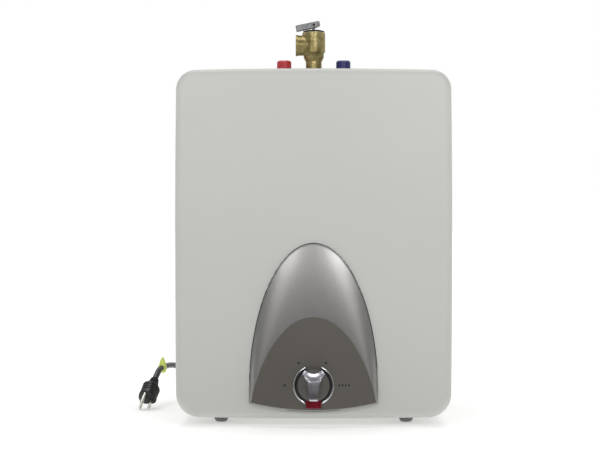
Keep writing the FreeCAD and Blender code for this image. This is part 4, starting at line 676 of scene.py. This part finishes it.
def ribbed_sleeve(name, start, end, wide, narrow, ribs, rib_depth, finish):
    """A moulded sleeve whose radius changes along a cord, with soft ribs round it."""
    recipe = Recipe("ribbed_sleeve_recipe", wide_radius=wide / 1000, narrow_radius=narrow / 1000,
                    ribs=ribs, rib_depth=rib_depth / 1000)
    path = recipe.add("GeometryNodeMeshToCurve", {"Mesh": recipe.base})
    count = recipe.calc("MULTIPLY_ADD", recipe.size("ribs"), 12.0, 1.0)
    path = recipe.add("GeometryNodeResampleCurve", {"Curve": path, "Count": count})
    share = recipe.add("GeometryNodeSplineParameter", {})
    body = recipe.add("ShaderNodeMapRange", {"Value": share, "To Min": recipe.size("wide_radius"),
                                             "To Max": recipe.size("narrow_radius")})
    phase = recipe.calc("MULTIPLY", share, recipe.size("ribs"))
    wave = recipe.calc("COSINE", recipe.calc("MULTIPLY", phase, math.tau))
    wave = recipe.calc("MULTIPLY_ADD", wave, 0.5, -0.5)
    radius = recipe.calc("MULTIPLY_ADD", wave, recipe.size("rib_depth"), body)
    base = base_of(name + "_line", [start, end], [(0, 1)])
    return recipe.made(name, recipe.swept(path, 1.0, radius, 36), finish, base)


def dial_marks():
    """Printed marks round the knob: three dots and four slanted ticks, as raised ink."""
    recipe = Recipe("dial_mark_recipe", dot_width=0.0031, ink_height=0.00008, ticks=4,
                    tick_pitch=0.0039, tick_width=0.0017, tick_length=0.0031, tick_slant=0.35)
    ink = recipe.size("ink_height")
    facing_front = (math.pi / 2, 0, 0)
    dots = recipe.add("GeometryNodeInstanceOnPoints",
                      {"Points": recipe.base, "Instance": recipe.rod(28, "dot_width", ink),
                       "Rotation": facing_front})
    step = recipe.point(X=recipe.size("tick_pitch"))
    first_tick = Vector((32.4, plate_y, dial_z)) / 1000
    row = recipe.add("GeometryNodeMeshLine", {"Count": recipe.size("ticks"), "Offset": step,
                                              "Start Location": first_tick})
    tick = recipe.point(X=recipe.size("tick_width"), Y=ink, Z=recipe.size("tick_length"))
    tick = recipe.add("GeometryNodeMeshCube", {"Size": tick})
    lean = recipe.point(Y=recipe.size("tick_slant"))
    ticks = recipe.add("GeometryNodeInstanceOnPoints",
                       {"Points": row, "Instance": tick, "Rotation": lean})
    places = ((-35.9, 0), (-18.5, 27.9), (15.4, 27.9))
    base = base_of("dial_mark_spots", [(x, plate_y, dial_z + z) for x, z in places])
    mesh = recipe.made("dial_marks", recipe.joined(dots, ticks), "mark_ink", base)
    fit("dial_marks", mesh, "mark_ink")


def rim_line(name, points, width, finish, even=True):
    """A thin round line through a ring of points, which may be spread evenly first."""
    recipe = Recipe("rim_line_recipe", line_width=width / 1000)
    path = recipe.add("GeometryNodeMeshToCurve", {"Mesh": recipe.base})
    if even:
        path = recipe.add("GeometryNodeResampleCurve", {"Curve": path, "Count": 360})
    line = recipe.swept(path, recipe.half("line_width"), 1.0, 10 if even else 20)
    loop = [(k, (k + 1) % len(points)) for k in range(len(points))]
    mesh = recipe.made(name, line, finish, base_of(name + "_path", points, loop))
    fit(name, mesh, finish, crease=80)


def outline_of(node, seam=None):
    """The outline of a node seen from the front, or of its edge at one depth, in metres."""
    near = 1e-5
    corners = sorted({(round(v.co.x, 6), round(v.co.z, 6)) for v in nodes[node].data.vertices
                      if seam is None or abs(v.co.y - seam) < near})
    rim = []
    for run in (corners, corners[::-1]):
        side = []
        for corner in run:
            while len(side) > 1 and bend_at(side[-2], side[-1], corner) <= 0:
                side.pop()
            side.append(corner)
        rim += side[:-1]
    return rim


def bend_at(first, second, third):
    """Which way a line bends at its second point: more than 0 is to the left."""
    return ((second[0] - first[0]) * (third[1] - first[1])
            - (second[1] - first[1]) * (third[0] - first[0]))


def shell_seam():
    """The rubber strip that shows in the joint between the two halves of the case."""
    seam, width, shown = 0.02, 2.4, 0.08
    rim = outline_of("front_shell", seam)
    points = []
    for k, (x, z) in enumerate(rim):
        after, before = rim[(k + 1) % len(rim)], rim[k - 1]
        inward = Vector((before[1] - after[1], 0, after[0] - before[0])).normalized()
        points.append(Vector((x, seam, z)) * 1000 + inward * (width / 2 - shown))
    rim_line("shell_seam", points, width, "seal_black", False)


def seated(rim, shift, node):
    """Points of the rim in millimetres, moved outwards and brought on to the front of a node."""
    points = []
    middle = Vector((0, 0, 0.1))
    before_case = -0.3
    for x, z in rim:
        outward = (Vector((x, 0, z)) - middle).normalized()
        start = Vector((x, before_case, z)) + outward * shift / 1000
        hit, spot = nodes[node].ray_cast(start, (0, 1, 0))[:2]
        if hit:
            points.append(spot * 1000)
    return points


# Dial, knob and lever


def both_arcs(name, low, high, radius, profile, swells=(1.0,)):
    """Two mirrored arcs round the knob, from one angle off the top to another.

    The profile has (distance outside the radius, height over the dial plate) corners. The swells
    are its size at the first steps from each end; the last of them holds for all between.
    """
    steps = 56
    arcs = []
    for side in (-1, 1):
        rings = []
        for k in range(steps + 1):
            turn = math.radians(low + (high - low) * k / steps)
            swell = swells[min(k, steps - k, len(swells) - 1)]
            corners = [(radius + out * swell, rise * swell) for out, rise in profile]
            rings.append([(side * math.sin(turn) * reach, plate_y - high_up,
                           dial_z + math.cos(turn) * reach) for reach, high_up in corners])
        arcs.append(skin(name + "_arc", rings))
    return merged(name, *arcs)


def chrome_arcs():
    """The rounded ring round the knob, open at the top and broken by the lens, and a black band of
    painted shade inside it.
    """
    ring_profile = [(-1.7, 0), (-1.7, 1.5), (-1.45, 2.3), (-0.9, 2.9), (-0.1, 3.15), (0.7, 2.8),
                    (1.3, 2.0), (1.62, 1.1), (1.7, 0)]
    ring = both_arcs("chrome_ring", 23.5, 156, 24.3, ring_profile, (0.72, 0.9, 1.0))
    fit("chrome_ring", ring, "chrome", stands_for=["dial_ring"], crease=50)
    # The black band between the ring and the knob is painted shade of the recess round the knob,
    # not a real part.
    gap_shade_profile = [(2.5, 2.75), (2.5, 2.95), (0, 2.95), (0, 2.75)]
    gap_shade_ring = both_arcs("ring_liner", 24, 155, 20.0, gap_shade_profile)
    fit("ring_liner", gap_shade_ring, "seal_black")


def knob():
    """The dark disc of the knob and its chrome grip, wide and scooped at the top."""
    disc_top = 6.5
    disc = [(21.8, 0.5), (21.8, 2.5), (21.6, 2.7), (19.9, 2.7), (19.8, 5.8), (19.3, 6.3),
            (18.6, disc_top), (17.2, disc_top), (16.9, 6.35), (16.6, disc_top), (8, disc_top),
            (0.4, disc_top)]
    fit("knob_disc", lathed("knob_disc", disc), "knob_dark", "knob", ["knob_body"])

    # Rows of the grip: height over the axis, half width, lift of the ends, height over the disc
    rows = [(-18.6, 5.2, 0, 6.8), (-17.8, 5.5, 0, 8.3), (-16.4, 5.7, 0, 8.9), (-8, 6.6, 0, 8.85),
            (0, 7.6, 0.2, 8.7), (4.2, 8.4, 0.8, 8.55), (6.2, 9.8, 1.8, 8.1), (8.3, 12.0, 3.2, 6.3),
            (9.3, 13.4, 4.2, 7.7), (9.8, 15.2, 4.9, 7.9), (12.6, 13.2, 4.8, 5.2),
            (15.0, 11.0, 4.6, 2.9)]
    shares = (-1, -0.8, -0.5, -0.2, 0.2, 0.5, 0.8, 1)
    narrowing = 0.93
    top, base = [], []
    for level, half, lift, high in rows:
        heights = [dial_z + level + lift * q * q for q in shares]
        top.append([(q * half * narrowing, plate_y - disc_top - high, z)
                    for q, z in zip(shares, heights)])
        base.append([(q * half, plate_y - disc_top, z) for q, z in zip(shares, heights)])
    grip = soft_edges(slab("knob_pointer", top, base), 0.28, 32)
    fit("knob_pointer", grip, "grip_chrome", "knob", ["knob_grip"], crease=28)


def boot():
    """The ribbed boot where the cord leaves the gland."""
    mesh = ribbed_sleeve("cord_boot", (-128, 176.5, 60), (-128, 211.5, 60), 7.0, 5.4, 7, 0.9,
                         "gland_plastic")
    fit("cord_boot", mesh, "gland_plastic", stands_for=["strain_relief"])


def lever():
    """The pressed steel test lever: an open channel with rolled edges, grooved before its nose."""
    side = [(-4.3, -4), (-5.2, -4), (-5.9, -3.7), (-6, -3.2), (-5.6, -2.6), (-5.4, -2.2),
            (-5.4, 3.1), (-5.1, 3.7), (-4.5, 4)]
    section = side + [(-y, z) for y, z in reversed(side)] + [(4.3, 2.8), (-4.3, 2.8)]
    # Places along the lever, with the size of the section at each
    places = [(-24.5, 0.88), (-24.2, 0.96), (-23.4, 1), (-10, 1), (2.5, 1), (5.0, 1), (5.3, 0.9),
              (6.1, 0.9), (6.4, 1), (7.9, 0.99), (8.5, 0.9)]
    nose_start, nose_slope = 2.5, 0.2
    rings = []
    for x, draw in places:
        low = -4 + max(0, x - nose_start) * nose_slope
        rings.append([(x, y * draw, max(z, low) * draw) for y, z in section])
    pin_height, tilt = 0.5236, math.radians(-12)
    mesh = skin("test_lever", rings)
    mesh.transform(Matrix.Translation((0, 0, pin_height)) @ Matrix.Rotation(tilt, 4, "Y"))
    fit("test_lever", soft_edges(mesh, 0.15, 50), "lever_steel", "valve_lever",
        ["valve_lever"])


def valve_crimp():
    """The bead of brass that is rolled over the valve's cap."""
    bead_radius, level = 14.75, 512.3
    half_width, half_height = 0.8, 0.85
    rings = []
    for turn in turns(96):
        out = Vector((math.cos(turn), math.sin(turn), 0))
        rings.append([out * (bead_radius + half_width * math.cos(t))
                      + Vector((0, 0, level + half_height * math.sin(t))) for t in turns(14)])
    fit("valve_crimp", skin("valve_crimp", rings, True), "brass_bright", crease=60)


# Plug and tie, each set along the cord

plug_way = (-0.2, -0.762, -0.616)
plug_side = (-1, 0, -0.25)
plug_face = 38


def set_along(mesh, spot, way, side):
    """Turns a mesh made upright at the origin on to a line of the cord."""
    up = Vector(way).normalized()
    right = (Vector(side) - up * up.dot(Vector(side))).normalized()
    turn = Matrix((right, up.cross(right), up)).transposed().to_4x4()
    mesh.transform(Matrix.Translation(Vector(spot) / 1000) @ turn)
    mesh.update()
    return mesh


def plug_section(wide, deep):
    """Corners of the rounded block, whose side by the earth pin is drawn in."""
    narrow = 0.72
    points = []
    for turn in turns(40):
        x, y = blunt(turn, 0.62)
        x, y = x * wide, y * deep
        if y < 0:
            x *= narrow + (1 - narrow) * (1 + y / deep)
        points.append((x, y))
    return points


def plug_moulding():
    """The moulded plug: ribbed neck, and a shouldered body with three finger grooves round it."""
    neck = ribbed_sleeve("plug_neck", (0, 0, 0), (0, 0, 14), 5.8, 8.8, 4, 1.5, "plug_black")
    levels = [(12.4, 5.5, 6.2), (13.4, 8.6, 8.4), (15, 10.9, 10.4), (16.6, 11.9, 11.4),
              (18.6, 12.3, 11.8)]
    for groove in (20, 24, 28):
        levels += [(groove, 12, 11.5), (groove + 0.7, 11.2, 10.6), (groove + 2, 11.2, 10.6),
                   (groove + 2.7, 12, 11.5)]
    levels += [(33.5, 12.2, 11.7), (36.6, 12.5, 12.0), (37.7, 12.2, 11.7), (plug_face, 11.6, 11.1)]
    body = skin("plug_block", [[(x, y - 2, z) for x, y in plug_section(wide, deep)]
                               for z, wide, deep in levels])
    shape = set_along(merged("plug_moulding", neck, body), plug_spot, plug_way, plug_side)
    return fit("plug_moulding", shape, "plug_black", stands_for=["plug_body"],
               crease=40)


def plug_pins():
    """Two drilled flat blades and a round earth pin."""
    recipe = Recipe("plug_blade_recipe", blade_thick=0.0015, blade_width=0.00635,
                    blade_length=0.017, hole_width=0.0031, pitch=0.0127)
    length = recipe.size("blade_length")
    block = recipe.point(X=recipe.size("blade_thick"), Y=recipe.size("blade_width"), Z=length)
    blade = recipe.add("GeometryNodeMeshCube", {"Size": block})
    hole = recipe.point(Z=recipe.calc("MULTIPLY", length, 0.22))
    bore = recipe.add("GeometryNodeTransform", {0: recipe.rod(24, "hole_width", 0.01),
                                                "Rotation": (0, math.pi / 2, 0),
                                                "Translation": hole})
    blade = recipe.add("GeometryNodeMeshBoolean", {"Mesh 1": blade, "Mesh 2": bore},
                       solver="EXACT", operation="DIFFERENCE")
    rise = recipe.point(Z=recipe.half("blade_length"))
    blade = recipe.add("GeometryNodeTransform", {0: blade, "Translation": rise})
    step = recipe.point(X=recipe.size("pitch"))
    first = recipe.point(X=recipe.calc("MULTIPLY", recipe.size("pitch"), -0.5), Y=0.0015,
                         Z=plug_face / 1000)
    pair = recipe.add("GeometryNodeMeshLine",
                      {"Count": 2, "Offset": step, "Start Location": first})
    pair = recipe.add("GeometryNodeInstanceOnPoints", {"Points": pair, "Instance": blade})
    blades = soft_edges(recipe.made("plug_blades", pair, "pin_brass"), 0.25, 50)

    pin_y = -10.4
    levels = [(plug_face, 2.4), (55.4, 2.4), (56.8, 2.05), (57.6, 1.4), (58, 0.5)]
    pin = skin("earth_pin", [ring_at((0, pin_y, z), radius, (1, 0, 0), (0, 1, 0), 32)
                             for z, radius in levels])
    shape = set_along(merged("plug_blades", blades, pin), plug_spot, plug_way, plug_side)
    return fit("plug_blades", shape, "pin_brass", stands_for=["plug_pins"])


def cord_tie():
    """A bright strap folded round the lead: fat where it holds, pinched, with a pointed end."""
    levels = [(-7.3, 3.0, 3.2), (-6.6, 4.3, 4.6), (-4.6, 5.2, 5.9), (-1, 5.5, 6.3), (3, 5.2, 6.0),
              (5.2, 4.6, 4.8), (6.4, 4.0, 3.6), (8.2, 3.9, 3.0), (10.4, 3.2, 2.4),
              (12.8, 2.0, 1.6), (14.4, 0.9, 0.9), (14.8, 0.3, 0.4)]
    rings = []
    for high, wide, deep in levels:
        lean = 0.05 * max(0, high)
        twist = 0.35 * math.sin(high * 1.1)
        rings.append([(x * wide + lean, high, z * deep + twist * x)
                      for x, z in (blunt(turn, 0.7) for turn in turns(32))])
    start, end = Vector(tie_start), Vector(tie_end)
    way = (end - start).normalized()
    up = (Vector((0, 0, 1)) - way * way.z).normalized()
    mesh = set_along(skin("tie_strap", rings), start.lerp(end, 0.5), way, up.cross(way))
    return fit("tie_strap", mesh, "tie_yellow_green",
               stands_for=["cord_tie"], crease=60)


surround()
paper_floor()
reflected_card()
softboxes()

finishes = {finish.name: finish for finish in (
    case_gloss(),
    panel_silver(),
    # The dial plate's dark brown-grey is in part its own darker tone and in part painted shade and
    # reflection of the silver face.
    plastic("dial_plate", srgb(92, 88, 82), 0.38, 900),
    chrome_plate("chrome", srgb(226, 227, 230), 0.13),
    lens_red(),
    plastic("lamp_glass", srgb(226, 150, 110), 0.1, 300, Transmission_Weight=0.7),
    plastic("knob_dark", srgb(88, 86, 82), 0.34, 800),
    chrome_plate("grip_chrome", srgb(214, 212, 220), 0.22),
    # This black is the real seam strip's, and also that of the painted shade lines round the panel
    # and the knob.
    rubber("seal_black", srgb(30, 30, 31)),
    plastic("mark_ink", srgb(34, 33, 33), 0.5),
    plastic("control_plastic", srgb(38, 38, 40), 0.4),
    plastic("button_red", srgb(176, 32, 30), 0.35),
    plastic("block_plastic", srgb(224, 220, 208), 0.45),
    plastic("cap_red", srgb(196, 52, 60), 0.4, 500, 0.00003, 0.1),
    plastic("cap_blue", srgb(36, 40, 104), 0.4, 500, 0.00003, 0.14),
    plastic("collar_plastic", srgb(206, 204, 198), 0.4),
    plastic("dip_plastic", srgb(232, 232, 226), 0.3),
    plastic("gland_plastic", srgb(34, 34, 36), 0.42),
    plastic("valve_cap_black", srgb(15, 15, 16), 0.62, 500),
    plastic("probe_coat", srgb(196, 182, 148), 0.35),
    plastic("wire_jacket", srgb(46, 44, 48), 0.4),
    plastic("earth_jacket", srgb(76, 140, 60), 0.4),
    plastic("plug_black", srgb(13, 13, 14), 0.32, 500, 0.00004, 0.2),
    plastic("tie_yellow_green", srgb(228, 243, 122), 0.3, 500, 0.00003, 0.1),
    zinc_spangle("tank_steel", srgb(120, 126, 134), 60),
    zinc_spangle("bracket_paint", srgb(176, 178, 180)),
    metal("zinc_steel", srgb(190, 190, 186), 0.3, 400),
    lever_steel(),
    metal("pin_dark", srgb(66, 64, 62), 0.45, 500, 0.00003, 0.2),
    metal("brass_bright", srgb(206, 192, 146), 0.26, 300, 0.00003, 0.14),
    brass_casting(),
    metal("pin_brass", srgb(206, 204, 198), 0.24, 500),
    metal("element_copper", srgb(190, 112, 78), 0.32, 260, 0.00004, 0.2),
    metal("anode_metal", srgb(150, 150, 148), 0.5, 160, 0.0002, 0.16),
    rubber("foot_rubber", srgb(128, 128, 127)),
    rubber("gasket_rubber", srgb(52, 34, 30)),
    foam_skin(),
    cord_skin("cord_jacket", srgb(28, 28, 30), 0.28),
)}

# CAD slots whose finish goes by another name
other_names = {"case_plastic": "case_gloss", "chrome_trim": "chrome", "valve_steel": "lever_steel",
               "valve_brass": "brass_casting", "valve_probe_coat": "probe_coat",
               "foam": "foam_skin"}
for node in nodes.values():
    for seat in node.material_slots:
        given = seat.material.name.split(".")[0]
        seat.material = finishes[other_names.get(given, given)].material
nodes["lever_pin"].material_slots[0].material = finishes["pin_dark"].material

cord = lay_cord(finishes["cord_jacket"].material)
plug_pieces = [plug_moulding(), plug_pins()]
tie = cord_tie()
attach(cord, "heater")
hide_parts("power_cord", "cord_coil", "cord_lead")

boot()
outline = outline_of("trim_panel")
# The black line just outside the panel is a painted shadow of the gap between the panel and the
# case.
rim_line("panel_gap_shadow_line", seated(outline, 0.5, "front_shell"), 1.2, "seal_black")
rim_line("panel_bead", seated(outline, -0.9, "trim_panel"), 1.0, "panel_silver")
shell_seam()
chrome_arcs()
lever()
valve_crimp()
knob()
dial_marks()

down, up, back = (0, 0, -1), (0, 0, 1), (0, 1, 0)
case_y, cover_y, cover_z, wall_y = 14, -110.5, 10.1, 174.5
for name, level, facing in (("case_screws_low", 11.6, down), ("case_screws_high", 447.7, up)):
    cross_screws(name, [(x, case_y, level) for x in (-110.5, 110.5)], facing, "case_screws")
cross_screws("cover_screws", [(x, cover_y, cover_z) for x in (6, 94)], down, "case_screws",
             head=7.0, shank=3.0, length=4.0)
cross_screws("wall_screws", [(x, wall_y, z) for x in (-106, 106) for z in (321, 379)], back,
             "bracket_screws", head=8.0, shank=4.0, length=6.0)
